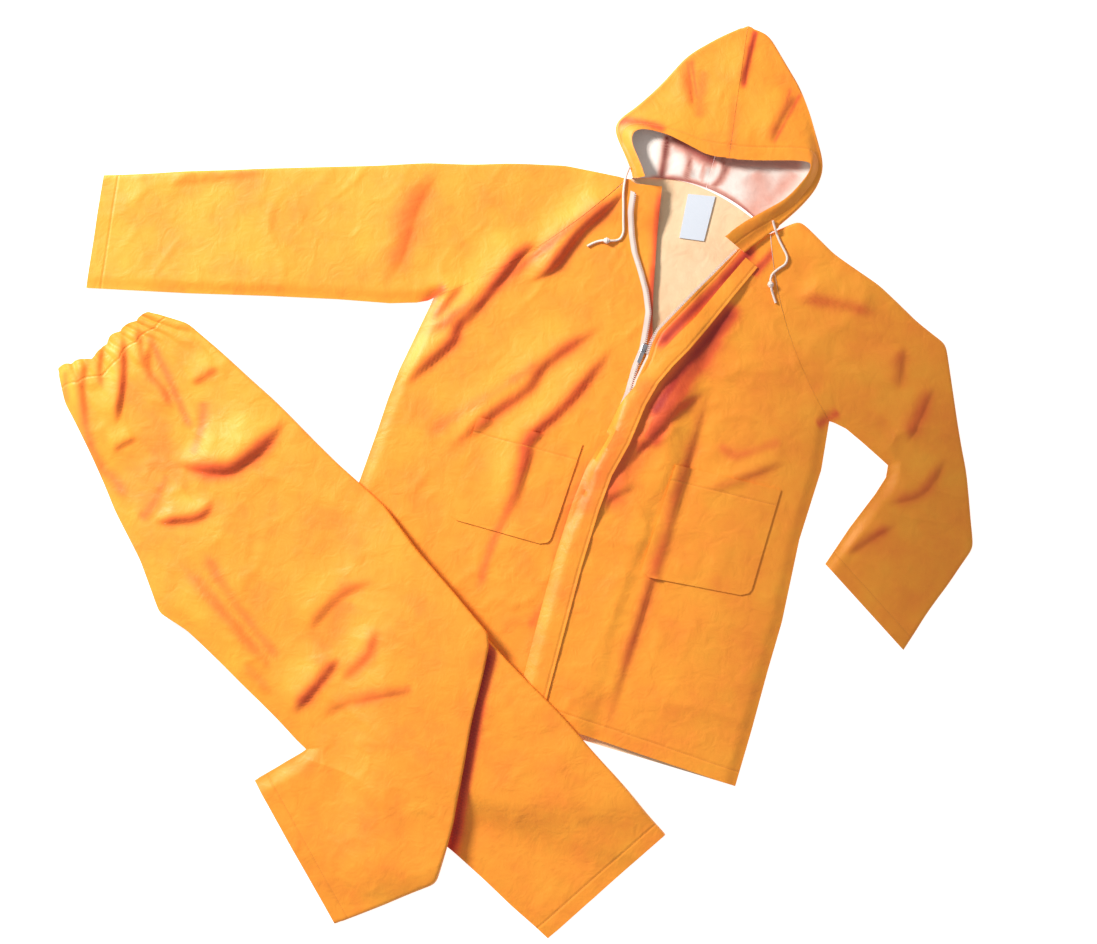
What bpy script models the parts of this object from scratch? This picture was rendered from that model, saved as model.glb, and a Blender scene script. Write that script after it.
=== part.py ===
"""Rain suit laid flat: a hooded jacket, and trousers folded in half over its lower corner.

Every sewn piece is one closed wall of coated cloth. The tables give each piece's own places in
millimetres, seen from above, with the middle of the whole outline at the origin. Right and left
are the wearer's. Heights are worked out: each piece is laid on what is already below it.
"""

import math

import bmesh
import bpy
import numpy as np
from mathutils import Matrix
from mathutils.bvhtree import BVHTree

MM = 0.001

# Cloth, in millimetres
CLOTH = 1.5  # thickness of a wall
APART = 0.3  # between pieces at a seam, and between layers
LOFT = 2.4  # air left between two layers that lie flat
TURN = 4.0  # how far in from the outline a fold starts
SEAM_SLOPE = 20.0  # over this width an upper layer comes down to a closed seam
SEAM_SHARE = 0.2  # each piece's own part of the gap at a seam
TURNING = 8.0  # width of the hood's turning where it is sewn to the front
HOOD_LIFT = 12.0  # how far the hood's upper layer stands over its lower one at the rim
LIGHT_SIDE = (-0.8, 0.6)  # the long slope of every fold faces this way

# Layout of the height lattice
CELL = 5.0
HALF_SPAN = 800.0
SOFTEN = 2  # cells

# Spacing of sections, in millimetres
WIDE = 38.0
SPACING = 30.0
FINE = 18.0
REACH = 40.0  # a wide piece clears what lies within this distance
NEAR = 12.0  # the same for a narrow piece
STEEPEST = 0.6  # slope of a cord where it crosses a step
DROP = 80.0  # small things are let down from this height
PROBE = 1.6  # spacing of the probes that let a patch down on the cloth

# Cords, zip and label
CORD = 3.5
KNOT = 9.0
TAPE = 7.0  # width of a zip tape that shows
TAPE_OUT = 3.0  # how far the left tape stands out from its front edge
SLIDER_LENGTH = 14.0
SLIDER_WIDTH = 9.0
SLIDER_HEIGHT = 3.6
PULL_LENGTH = 24.0
PULL_WIDTH = 6.0
PULL_THICK = 1.6
BRIDGE_SPAN = 8.2
BRIDGE_WIDTH = 2.4
BRIDGE_THICK = 1.2
BRIDGE_GAP = 2.8  # under the bridge
HINGE_HEIGHT = 1.4  # of the pull's bar over the slider
EYE_WIDTH = 3.6
EYE_LENGTH = 5.4
POCKET_CORNER = 14.0

ORANGE = (1.0, 0.42, 0.03)
ORANGE_SHADE = (0.95, 0.34, 0.02)
LINING = (0.86, 0.78, 0.72)
TAPE_WHITE = (0.88, 0.80, 0.76)
METAL = (0.62, 0.63, 0.66)

# Sections of a sleeve, cuff to neck: its folded edge, its underarm seam, and how far the section
# bows to the left of the way from underarm to fold.
RIGHT_SLEEVE = (
    # name, fold, under, bow
    ("cuff", (-618, 460), (-645, 291), 0),
    ("forearm", (-485, 466), (-494, 283), 0),
    ("elbow", (-367, 471), (-373, 279), 0),
    ("above elbow", (-250, 474), (-268, 274), 0),
    ("upper arm", (-130, 478), (-190, 268), 0),
    ("armhole", (-25, 477), (-150, 269), 0),
    ("shoulder", (73, 475), (-133, 272), -9),
    ("raglan seam", (167, 454), (-124, 276), -17),
)
LEFT_SLEEVE = (
    ("cuff", (580, -252), (463, -123), 0),
    ("wrist", (632, -173), (500, -68), 0),
    ("forearm", (685, -99), (538, -18), 0),
    ("below elbow", (673, 18), (554, 7), 0),
    ("elbow", (661, 93), (557, 25), 0),
    ("above elbow", (644, 207), (545, 36), 0),
    ("upper arm", (599, 241), (518, 60), 0),
    ("arm", (542, 295), (494, 80), 0),
    ("armhole", (475, 343), (478, 88), 0),
    ("shoulder", (425, 391), (473, 90), 8),
    ("raglan seam", (380, 372), (469, 91), 18),
)

# Edges of the body, neck or armhole to hem
RIGHT_SIDE = (
    (-124, 276), (-151, 220), (-176, 168), (-193, 124), (-208, 79), (-235, 3), (-283, -117),
    (-337, -255),
)
LEFT_SIDE = (
    (469, 91), (457, 18), (424, -87), (398, -210), (377, -282), (352, -374), (328, -456),
)
NECK_BOW = 30.0  # the back neck seam rises this far over the line between the two raglan seams
RIGHT_ZIP_OPEN = (
    (179, 446), (173, 403), (175, 369), (179, 343), (188, 315), (196, 285), (200, 253), (196, 228),
    (191, 199), (180, 172),
)
RIGHT_ZIP_SHUT = (
    (180, 172), (169, 132), (143, 67), (119, 18), (100, -35), (73, -117), (47, -207), (20, -312),
    (7, -345),
)
RIGHT_EDGE_OPEN = (
    (218, 442), (215, 412), (211, 369), (208, 325), (205, 283), (204, 240), (204, 200), (200, 168),
)
RIGHT_EDGE_SHUT = (
    (200, 168), (190, 132), (167, 67), (143, 18), (124, -35), (95, -117), (71, -207), (44, -312),
    (29, -351),
)
LEFT_EDGE_OPEN = ((331, 348), (299, 315), (266, 282), (238, 253), (212, 226), (203, 208), (196, 186))
LEFT_EDGE_SHUT = (
    (196, 186), (179, 151), (173, 130), (148, 66), (124, 16), (104, -36), (77, -119), (52, -209),
    (25, -314), (11, -348),
)

# Sections of a hood half, crown to neck: the rim of the face opening, the folded outline, and
# where the lower layer ends: 0 to 1 down the centre back seam, 1 to 2 along the neck seam. At 3
# there is only a narrow turning, which lies on the jacket's front.
RIGHT_HOOD = (
    # name, rim, fold, end of the lower layer
    ("crown", (317, 483), (347, 684), 0.0),
    ("top", (299, 484), (305, 666), 0.25),
    ("upper slope", (280, 489), (254, 637), 0.5),
    ("slope", (254, 504), (212, 592), 0.75),
    ("temple", (226, 520), (179, 561), 1.0),
    ("corner", (191, 529), (155, 544), 1.25),
    ("tip", (173, 526), (146, 531), 1.45),
    ("under tip", (170, 508), (154, 510), 1.62),
    ("cheek", (181, 483), (166, 483), 1.8),
    ("neck", (192, 455), (176, 453), 1.95),
)
LEFT_HOOD = (
    ("crown", (317, 483), (347, 684), 0.0),
    ("top", (359, 481), (379, 672), 0.2),
    ("upper slope", (388, 481), (403, 630), 0.45),
    ("slope", (410, 481), (425, 592), 0.7),
    ("temple", (430, 480), (442, 546), 0.95),
    ("corner", (441, 476), (458, 492), 1.2),
    ("tip", (438, 462), (461, 468), 1.35),
    ("under tip", (421, 441), (449, 438), 1.5),
    ("cheek", (401, 421), (424, 409), 1.65),
    ("jaw", (370, 405), (394, 384), 1.85),
    ("shoulder", (358, 398), (383, 374), 3.0),
    ("throat", (338, 387), (367, 361), 3.0),
    ("neck", (311, 366), (341, 343), 3.0),
)
CENTRE_BACK = ((340, 640), (284, 442))

# Sections of the storm flap, neck to hem
STORM_FLAP = (
    # name, free edge, sewn edge
    ("neck", (343, 336), (361, 321)),
    ("collarbone", (308, 295), (326, 279)),
    ("chest", (268, 247), (287, 231)),
    ("above slider", (236, 216), (258, 197)),
    ("slider", (212, 190), (235, 174)),
    ("below slider", (187, 160), (212, 147)),
    ("teeth", (166, 126), (193, 114)),
    ("upper zip", (138, 67), (169, 57)),
    ("waist", (111, 21), (143, 10)),
    ("hip", (90, -32), (124, -41)),
    ("seat", (63, -117), (98, -126)),
    ("thigh", (39, -207), (74, -216)),
    ("hem", (3, -345), (37, -356)),
)

# Sections of a trouser leg, waist to hem: the rise and inseam side, and the folded outseam
LEFT_LEG = (
    # name, inseam, fold
    ("waist", (-685, 171), (-550, 255)),
    ("casing", (-674, 118), (-490, 238)),
    ("hip", (-638, 43), (-407, 165)),
    ("seat", (-601, -41), (-332, 93)),
    ("rise", (-562, -117), (-265, 25)),
    ("crotch", (-533, -195), (-197, -36)),
    ("thigh", (-491, -224), (-148, -99)),
    ("lower thigh", (-439, -273), (-109, -143)),
    ("above knee", (-382, -330), (-41, -224)),
    ("knee", (-329, -385), (-40, -245)),
    ("below knee", (-314, -399), (-67, -366)),
    ("calf", (-322, -405), (-92, -507)),
    ("shin", (-340, -416), (-119, -600)),
    ("ankle", (-358, -427), (-197, -632)),
    ("hem", (-391, -446), (-272, -662)),
)
RIGHT_LEG = (
    ("waist", (-678, 169), (-554, 248)),
    ("casing", (-667, 118), (-495, 232)),
    ("hip", (-631, 43), (-413, 158)),
    ("seat", (-594, -41), (-338, 87)),
    ("rise", (-555, -117), (-270, 20)),
    ("crotch", (-523, -191), (-203, -42)),
    ("thigh", (-415, -279), (-115, -149)),
    ("knee", (-310, -372), (-22, -256)),
    ("calf", (-205, -462), (65, -347)),
    ("ankle", (-94, -555), (143, -432)),
    ("hem", (47, -684), (223, -527)),
)

# Folds: the line is the foot of the short, shaded slope. The long slope is on the lit side.
JACKET_FOLDS = (
    # name, height, shaded slope, lit slope, line
    ("armpit pinch", 7, 8, 16, ((-70, 300), (-133, 231))),
    ("right chest", 10, 11, 22, ((47, 363), (13, 342), (-14, 309), (-46, 271), (-82, 223))),
    ("armpit to side", 8, 10, 20, ((-13, 300), (-79, 237), (-92, 208), (-151, 156), (-179, 133))),
    ("raglan", 12, 11, 20, ((170, 440), (142, 410), (104, 376), (82, 349), (56, 316), (13, 295))),
    ("zip to pocket", 8, 11, 24, ((137, 237), (50, 174), (22, 136), (-35, 96), (-110, 39))),
    ("zip to waist", 9, 10, 20, ((157, 214), (116, 159), (74, 108), (22, 61), (16, 30), (-16, -68))),
    ("right sleeve", 5, 20, 34, ((-110, 474), (-142, 417), (-157, 375), (-169, 336), (-196, 291))),
    ("right forearm", 3, 14, 26, ((-532, 442), (-401, 456), (-364, 465))),
    ("left waist", 9, 10, 22, ((295, 133), (266, 121), (238, 99), (214, 70), (185, 45), (160, 13))),
    ("left long fold", 6, 10, 24, ((301, 171), (266, 49), (244, -17), (224, -90), (179, -237), (131, -386))),
    ("left hip", 4, 7, 14, ((272, -17), (317, -5), (352, 7), (410, 30))),
    ("left pocket", 5, 8, 14, ((182, -8), (143, -27), (137, -50))),
    ("left shoulder", 5, 9, 18, ((412, 271), (470, 265), (547, 246))),
    ("left elbow", 6, 10, 20, ((550, -36), (610, -18), (647, 39))),
    ("left forearm", 5, 8, 16, ((572, -63), (490, -113))),
    ("left upper arm", 5, 12, 20, ((583, 208), (575, 128))),
    ("left outer elbow", 6, 12, 20, ((628, 145), (598, 78), (583, 55))),
)
OPEN_FRONT_FOLDS = (
    ("turned edge", 9, 18, 14, (
        (347, 330), (313, 299), (280, 266), (252, 237), (226, 211), (212, 196),
    )),
    ("flap", 17, 13, 18, (
        (379, 318), (331, 274), (295, 228), (260, 193), (238, 165), (215, 138), (194, 108),
        (170, 52), (145, 6), (125, -42),
    )),
)
HOOD_FOLDS = (
    ("crown", 6, 7, 12, ((358, 672), (349, 630), (336, 585))),
    ("right side", 4, 9, 16, ((252, 632), (262, 590), (264, 552))),
    ("left side", 5, 9, 16, ((425, 585), (400, 545), (378, 500))),
)
HOOD_INSIDE_FOLDS = (
    ("turned side", 6, 8, 26, ((232, 540), (228, 500), (219, 440))),
    ("gather", 4, 8, 10, ((258, 500), (263, 478), (268, 455))),
    ("gather by label", 4, 8, 10, ((290, 500), (293, 478), (292, 455))),
    ("gather beyond label", 4, 8, 10, ((325, 495), (318, 476), (308, 452))),
)
TROUSER_FOLDS = (
    ("left casing gather", 5, 6, 8, ((-668, 176), (-671, 140), (-668, 112))),
    ("second gather", 6, 7, 10, ((-634, 194), (-644, 142), (-638, 81))),
    ("third gather", 5, 6, 9, ((-611, 210), (-618, 170), (-614, 130))),
    ("fourth gather", 8, 7, 10, ((-584, 232), (-582, 160), (-590, 108), (-596, 74))),
    ("fifth gather", 5, 6, 9, ((-566, 238), (-556, 196), (-550, 160))),
    ("sixth gather", 5, 8, 12, ((-540, 220), (-547, 169), (-523, 139), (-508, 96))),
    ("seventh gather", 4, 7, 10, ((-485, 140), (-439, 171))),
    ("upper hip", 4, 7, 12, ((-604, 43), (-562, 66))),
    ("hip", 4, 9, 14, ((-631, 43), (-574, -26))),
    ("seat fold", 12, 13, 26, ((-335, 100), (-370, 54), (-401, 28), (-431, 12), (-478, 16), (-520, 30))),
    ("under seat", 8, 9, 18, ((-448, -20), (-466, -53), (-515, -62), (-545, -58))),
    ("inner thigh", 5, 10, 20, ((-509, -114), (-473, -146), (-439, -185), (-395, -237), (-353, -287))),
    ("inner knee", 4, 9, 16, ((-410, -260), (-361, -315))),
    ("knee pucker", 5, 10, 18, ((-208, -149), (-251, -167), (-283, -195), (-311, -231))),
    ("back of knee", 9, 10, 20, ((-254, -252), (-290, -302), (-335, -351))),
    ("second knee", 6, 10, 20, ((-205, -210), (-215, -255), (-241, -284), (-265, -305))),
    ("below knee", 4, 12, 22, ((-152, -312), (-250, -332), (-298, -360))),
)

# The slider's place, and a place further down the zip
SLIDER_PLACE = ((191, 200), (181, 174))

# Corners of the patch pockets, from the top corner by the centre, and of the label
LEFT_POCKET = ((238, 26), (396, -12), (349, -172), (184, -140))
RIGHT_POCKET = ((99, 56), (-58, 98), (-104, -53), (48, -96))
LABEL = ((257, 432), (298, 428), (281, 361), (244, 366))

# Drawcord routes from the hood's hem to the knot, and the tail beyond it
RIGHT_CORD = (
    (169, 470), (163, 454), (160, 433), (160, 412), (160, 390), (160, 374), (155, 364), (146, 361),
    (136, 361), (126, 361), (116, 358), (106, 353),
)
LEFT_CORD = (
    (383, 390), (387, 377), (393, 362), (400, 348), (405, 336), (402, 326), (392, 319), (383, 311),
    (380, 302), (381, 291), (384, 280), (388, 268),
)
RIGHT_KNOT = 0.78  # the share of the route where the knot begins
LEFT_KNOT = 0.76


def smooth(share):
    """0 to 1 with level ends."""
    share = np.clip(share, 0.0, 1.0)
    return share * share * (3.0 - 2.0 * share)


def unit(vectors):
    return vectors / np.maximum(np.linalg.norm(vectors, axis=-1, keepdims=True), 1e-9)


def slid(values, cells, axis):
    return np.roll(values, cells, axis)


class Pile:
    """The height of everything laid so far, on a square lattice."""

    def __init__(self, top=None):
        cells = int(2 * HALF_SPAN / CELL) + 1
        self.top = np.full((cells, cells), -APART) if top is None else top.copy()

    def copy(self):
        return Pile(self.top)

    def add(self, grid):
        """Raise the lattice to a grid of surface points, rows by columns by xyz."""
        edges = np.linalg.norm(np.diff(grid, axis=0), axis=-1).max()
        edges = max(edges, np.linalg.norm(np.diff(grid, axis=1), axis=-1).max())
        steps = int(math.ceil(edges / (0.6 * CELL)))
        for down in np.linspace(0.0, 1.0, steps + 1):
            row = grid[:-1] * (1 - down) + grid[1:] * down
            for along in np.linspace(0.0, 1.0, steps + 1):
                point = row[:, :-1] * (1 - along) + row[:, 1:] * along
                cell = np.rint((point[..., :2] + HALF_SPAN) / CELL).astype(int)
                np.maximum.at(self.top, (cell[..., 0], cell[..., 1]), point[..., 2])

    def over(self, reach):
        """A soft height, as a function of place, clear of all that lies within reach."""
        cells = int(math.ceil(reach / CELL)) + 2 * SOFTEN
        wide = self.top.copy()
        for axis in (0, 1):
            source = wide.copy()
            for step in range(-cells, cells + 1):
                wide = np.maximum(wide, slid(source, step, axis))
        for axis in (0, 1, 0, 1):
            shifts = range(-SOFTEN, SOFTEN + 1)
            wide = sum(slid(wide, step, axis) for step in shifts) / (2 * SOFTEN + 1)

        def height(x, y):
            column = (x + HALF_SPAN) / CELL
            row = (y + HALF_SPAN) / CELL
            i = np.floor(column).astype(int)
            j = np.floor(row).astype(int)
            s = column - i
            t = row - j
            near = wide[i, j] * (1 - s) + wide[i + 1, j] * s
            far = wide[i, j + 1] * (1 - s) + wide[i + 1, j + 1] * s
            return near * (1 - t) + far * t

        return height


def to_line(x, y, line):
    """Distance from a line of points, positive on its lit side, and the share of its length."""
    points = np.array(line, float)
    runs = np.diff(points, axis=0)
    lengths = np.linalg.norm(runs, axis=1)
    starts = np.concatenate([[0.0], np.cumsum(lengths)])
    chord = points[-1] - points[0]
    facing = 1.0 if -chord[1] * LIGHT_SIDE[0] + chord[0] * LIGHT_SIDE[1] > 0 else -1.0
    best = np.full(np.shape(x), np.inf)
    signed = np.zeros(np.shape(x))
    share = np.zeros(np.shape(x))
    for start, run, length, travelled in zip(points, runs, lengths, starts):
        dx = x - start[0]
        dy = y - start[1]
        along = np.clip((dx * run[0] + dy * run[1]) / length**2, 0.0, 1.0)
        gap = np.hypot(dx - along * run[0], dy - along * run[1])
        side = np.where(run[0] * dy - run[1] * dx > 0, 1.0, -1.0) * facing
        closer = gap < best
        best = np.where(closer, gap, best)
        signed = np.where(closer, gap * side, signed)
        share = np.where(closer, (travelled + along * length) / starts[-1], share)
    return signed, share


def relief(x, y, folds):
    """Height that a table of folds adds."""
    total = np.zeros(np.shape(x))
    for _, height, shaded, lit, line in folds:
        across, share = to_line(x, y, line)
        rise = smooth(across / shaded) * (1.0 - smooth((across - shaded) / lit))
        taper = smooth(share / 0.22) * smooth((1.0 - share) / 0.22)
        total = np.maximum(total, height * rise * taper)
    return total


def resampled(line, count):
    """Points at even steps of length along a line."""
    points = np.array(line, float)
    lengths = np.linalg.norm(np.diff(points, axis=0), axis=1)
    travelled = np.concatenate([[0.0], np.cumsum(lengths)])
    places = np.linspace(0.0, travelled[-1], count)
    return np.stack([np.interp(places, travelled, points[:, k]) for k in (0, 1)], axis=1)


def smooth_route(points, steps):
    """A smooth curve through hand-placed points, with steps between each two."""
    ends = np.vstack([2 * points[0] - points[1], points, 2 * points[-1] - points[-2]])
    route = []
    for k in range(1, len(ends) - 2):
        before, here, there, after = ends[k - 1 : k + 3]
        for t in np.arange(steps) / steps:
            route.append(
                0.5
                * (
                    2 * here
                    + (there - before) * t
                    + (2 * before - 5 * here + 4 * there - after) * t**2
                    + (3 * here - before - 3 * there + after) * t**3
                )
            )
    route.append(points[-1])
    return np.array(route)


def sections(table, spacing):
    """The table's columns, after its names, at closely spaced sections between its rows."""
    columns = [np.array([np.atleast_1d(row[k]) for row in table], float) for k in range(1, len(table[0]))]
    places = [0.0]
    for here in range(len(table) - 1):
        travel = max(
            np.linalg.norm(column[here + 1] - column[here]) for column in columns if column.shape[1] == 2
        )
        steps = max(1, int(math.ceil(travel / spacing)))
        places.extend(here + (k + 1) / steps for k in range(steps))
    rows = np.arange(len(table))
    return [
        np.stack([np.interp(places, rows, column[:, k]) for k in range(column.shape[1])], axis=1)
        for column in columns
    ]


def bowed(start, end, shares, bow):
    """Rows of points from start to end, each row bowed to its left by bow at the middle."""
    run = end - start
    aside = unit(np.stack([-run[:, 1], run[:, 0]], axis=1))
    share = np.asarray(shares)[None, :, None]
    line = start[:, None] * (1 - share) + end[:, None] * share
    return line + aside[:, None] * bow[:, None, None] * 4 * share * (1 - share)


def material(name, colour, roughness, metallic=0.0):
    finish = bpy.data.materials.new(name)
    finish.use_nodes = True
    shader = finish.node_tree.nodes["Principled BSDF"]
    shader.inputs["Base Color"].default_value = (*colour, 1.0)
    shader.inputs["Roughness"].default_value = roughness
    shader.inputs["Metallic"].default_value = metallic
    finish.diffuse_color = (*colour, 1.0)
    return finish


def placed(name, mesh_or_curve, finish, parent):
    piece = bpy.data.objects.new(name, mesh_or_curve)
    bpy.context.scene.collection.objects.link(piece)
    mesh_or_curve.materials.append(finish)
    piece.parent = parent
    return piece


def wall(name, middle, outward, finish, parent, turn=None):
    """A closed wall of cloth about a grid of middle points. Past column turn the quads are cut
    the other way, so that both layers of a folded piece are cut alike."""
    rows, columns = middle.shape[:2]
    outer = middle + outward * (CLOTH / 2)
    inner = middle - outward * (CLOTH / 2)
    points = np.concatenate([outer.reshape(-1, 3), inner.reshape(-1, 3)]) * MM
    index = np.arange(rows * columns).reshape(rows, columns)
    behind = rows * columns
    faces = []
    for i in range(rows - 1):
        for j in range(columns - 1):
            a, b, c, d = index[i, j], index[i + 1, j], index[i + 1, j + 1], index[i, j + 1]
            cut = ((a, b, c), (a, c, d)) if turn is None or j < turn else ((a, b, d), (b, c, d))
            for face in cut:
                faces.append(face)
                faces.append(tuple(behind + k for k in reversed(face)))
    rim = list(index[:, 0]) + list(index[-1, 1:]) + list(index[-2::-1, -1]) + list(index[0, -2:0:-1])
    for here, there in zip(rim, rim[1:] + rim[:1]):
        faces.append((there, here, behind + here))
        faces.append((there, behind + here, behind + there))
    mesh = bpy.data.meshes.new(name)
    mesh.from_pydata([tuple(p) for p in points], [], [tuple(int(k) for k in f) for f in faces])
    volume = sum(
        mesh.vertices[f[0]].co.dot(mesh.vertices[f[1]].co.cross(mesh.vertices[f[2]].co)) for f in faces
    )
    if volume < 0:
        mesh.flip_normals()
    mesh.set_sharp_from_angle(angle=math.radians(50))
    return placed(name, mesh, finish, parent)


def upright(grid):
    """The upward direction at every point of a grid."""
    return np.broadcast_to(np.array([0.0, 0.0, 1.0]), grid.shape)


def laid(flat, height, lift):
    """Middle points of one layer: seen from above as flat, resting on height, and lifted."""
    x, y = flat[..., 0], flat[..., 1]
    return np.dstack([x, y, height(x, y) + APART + CLOTH / 2 + lift])


def raised(grid, by):
    return grid + np.array([0.0, 0.0, by])


class Strip:
    """A piece folded over at its outline: an upper layer, the fold, and a lower layer."""

    def __init__(self, near, fold, end, bow, upper, lower):
        inward = unit(near - fold)
        self.fold = fold
        self.outward = -inward
        edge = fold + inward * TURN
        self.upper_shares = np.linspace(0.0, 1.0, upper + 1)
        lower_inward = unit(end - fold)
        lower_edge = edge if np.allclose(near, end) else fold + lower_inward * TURN
        self.upper_flat = bowed(near, edge, self.upper_shares, bow)
        self.lower_flat = bowed(end, lower_edge, np.linspace(0.0, 1.0, lower + 1), bow)

    def lay_lower(self, pile, reach, lift=None):
        height = pile.over(reach)
        raise_by = 0.0 if lift is None else lift(*np.moveaxis(self.lower_flat, 2, 0))
        self.lower = laid(self.lower_flat, height, raise_by)
        return self.lower

    def lay_upper(self, pile, reach, lift):
        height = pile.over(reach)
        x, y = np.moveaxis(self.upper_flat, 2, 0)
        self.upper = laid(self.upper_flat, height, lift(x, y, self.upper_shares[None, :]))
        return self.upper

    def build(self, name, finish, parent):
        """Join the layers round the fold, whose outermost line is the outline."""
        top = self.upper[:, -1]
        bottom = self.lower[:, -1]
        middle = (top + bottom) / 2
        half = (top[:, 2] - bottom[:, 2]) / 2
        depth = TURN - CLOTH / 2
        turns = []
        facings = []
        for degrees in (50, 0, -50):
            angle = math.radians(degrees)
            point = middle.copy()
            point[:, :2] += self.outward * depth * math.cos(angle)
            point[:, 2] += half * math.sin(angle)
            facing = np.concatenate(
                [self.outward * math.cos(angle), np.full((len(middle), 1), math.sin(angle))], axis=1
            )
            turns.append(point)
            facings.append(facing)
        grid = np.concatenate(
            [self.upper, np.stack(turns, axis=1), self.lower[:, ::-1]], axis=1
        )
        outward = np.concatenate(
            [upright(self.upper), np.stack(facings, axis=1), -upright(self.lower)], axis=1
        )
        turn = self.upper.shape[1] + 1
        return wall(name, grid, outward, finish, parent, turn)


def between(curves, counts, pull=1.0):
    """A flat grid from one edge curve to the next, with counts of columns between them. A pull
    over 1 draws the first stretch's columns towards its start."""
    first = unit(curves[1] - curves[0])
    last = unit(curves[-1] - curves[-2])
    curves = list(curves)
    curves[0] = curves[0] + first * SEAM_SHARE
    curves[-1] = curves[-1] - last * SEAM_SHARE
    stretches = []
    for k, count in enumerate(counts):
        shares = np.arange(count) / count
        if k == 0:
            shares = shares**pull
        share = shares[None, :, None]
        stretches.append(curves[k][:, None] * (1 - share) + curves[k + 1][:, None] * share)
    stretches.append(curves[-1][:, None])
    return np.concatenate(stretches, axis=1)


def joined(upper, lower, counts):
    """One curve through two lines that meet, with a count of steps for each."""
    return np.concatenate([resampled(upper, counts[0] + 1), resampled(lower, counts[1] + 1)[1:]])


def raglan(table, steps):
    """The sleeve's last section, from the neck to the armpit."""
    _, fold, under, bow = table[-1]
    shares = np.linspace(1.0, 0.0, steps + 1)
    return bowed(np.array([under], float), np.array([fold], float), shares, np.array([float(bow)]))[0]


def sleeve(table):
    fold, under, bow = sections(table, SPACING)
    back_off = unit(fold[-1] - fold[-2]) * SEAM_SHARE
    fold[-1] -= back_off
    under[-1] -= back_off
    return Strip(under, fold, under, bow[:, 0], 8, 3)


def leg(table, upper, lower, spacing):
    inseam, fold = sections(table, spacing)
    return Strip(inseam, fold, inseam, np.zeros(len(fold)), upper, lower)


def neck_curve(count):
    """The back neck seam, from the right raglan seam to the left one."""
    start = np.array([RIGHT_SLEEVE[-1][1]], float)
    end = np.array([LEFT_SLEEVE[-1][1]], float)
    return bowed(start, end, np.linspace(0.0, 1.0, count), np.array([NECK_BOW]))[0]


def hood_half(table, side):
    """Side is -1 for the right half and 1 for the left one, which meet along the centre."""
    rim, fold, tail = sections(table, SPACING)
    neck = neck_curve(41)
    neck = neck[20::-1] if side < 0 else neck[20:]
    centre = np.vstack([CENTRE_BACK[0], neck[0]])
    down = np.clip(tail, 0.0, 1.0)
    end = centre[0] * (1 - down) + centre[1] * down
    along = np.clip(tail[:, 0] - 1.0, 0.0, 1.0) * (len(neck) - 1)
    past = np.stack([np.interp(along, np.arange(len(neck)), neck[:, k]) for k in (0, 1)], axis=1)
    end = np.where(tail > 1.0, past, end)
    end = np.where(tail > 2.9, fold + unit(rim - fold) * TURNING, end)
    shift = np.array([side * SEAM_SHARE, 0.0])
    half = Strip(rim + shift, fold + shift, end + shift, np.zeros(len(rim)), 5, 5)
    half.turned = tail[:, 0] > 2.0
    return half


def turn_under(half):
    """Lay the narrow turning of a hood half close under its upper layer."""
    close = half.upper[:, -1:, 2] - CLOTH - 2 * APART
    half.lower[..., 2] = np.where(half.turned[:, None], close, half.lower[..., 2])


def patch(corners, across, down, rounded):
    """A flat grid over a four-cornered patch, first corner at the top, with its two lower corners
    rounded by drawing in the ends of the last rows."""
    first, second, third, fourth = (np.array(corner, float) for corner in corners)
    v = np.linspace(0.0, 1.0, down + 1)[:, None]
    start = first * (1 - v) + fourth * v
    end = second * (1 - v) + third * v
    if rounded:
        depth = np.linalg.norm(fourth - first) * (1 - v)
        left = np.clip(POCKET_CORNER - depth, 0.0, POCKET_CORNER)
        inward = POCKET_CORNER - np.sqrt(np.maximum(POCKET_CORNER**2 - left**2, 0.0))
        way = unit(end - start)
        start = start + way * inward
        end = end - way * inward
    u = np.linspace(0.0, 1.0, across + 1)[None, :, None]
    return start[:, None] * (1 - u) + end[:, None] * u


def below(pieces):
    """A search tree over the faces of the pieces built so far, in metres."""
    corners = []
    faces = []
    for piece in pieces:
        start = len(corners)
        corners.extend(vertex.co.copy() for vertex in piece.data.vertices)
        faces.extend([start + k for k in face.vertices] for face in piece.data.polygons)
    return BVHTree.FromPolygons(corners, faces)


def sunk(point, radius, tree):
    """The height at which a ball dropped over a point comes to rest on the pieces."""
    z = DROP
    for _ in range(60):
        gap = tree.find_nearest((point[0] * MM, point[1] * MM, z * MM))[3] / MM - radius
        if gap < 0.01:
            break
        z -= gap
    return max(z, radius)


def draped(flat, tree):
    """Middle points of a piece let down on the pieces below, which it just clears everywhere."""
    rows, columns = flat.shape[:2]
    index = np.arange(rows * columns).reshape(rows, columns)
    a, b, c, d = index[:-1, :-1], index[1:, :-1], index[1:, 1:], index[:-1, 1:]
    faces = np.stack([a, b, c, a, c, d], axis=-1).reshape(-1, 3)
    size = np.linalg.norm(flat[1, 0] - flat[0, 0])
    steps = max(2, int(math.ceil(size / PROBE)))
    parts = [(i, j, steps - i - j) for i in range(steps + 1) for j in range(steps + 1 - i)]
    weights = np.array(parts) / steps
    places = flat.reshape(-1, 2)

    def top(place):
        hit = tree.ray_cast((place[0] * MM, place[1] * MM, DROP * MM), (0.0, 0.0, -1.0))
        return hit[0].z / MM

    z = np.array([top(place) for place in places])
    spots = (weights @ places[faces]).reshape(-1, 2)
    tops = np.array([top(spot) for spot in spots]).reshape(len(faces), -1)
    short = (tops - z[faces] @ weights.T).max(axis=1)
    lift = np.zeros(len(z))
    np.maximum.at(lift, faces, short[:, None])
    return np.dstack([flat, (z + lift).reshape(rows, columns) + 2 * APART + CLOTH / 2])


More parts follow.
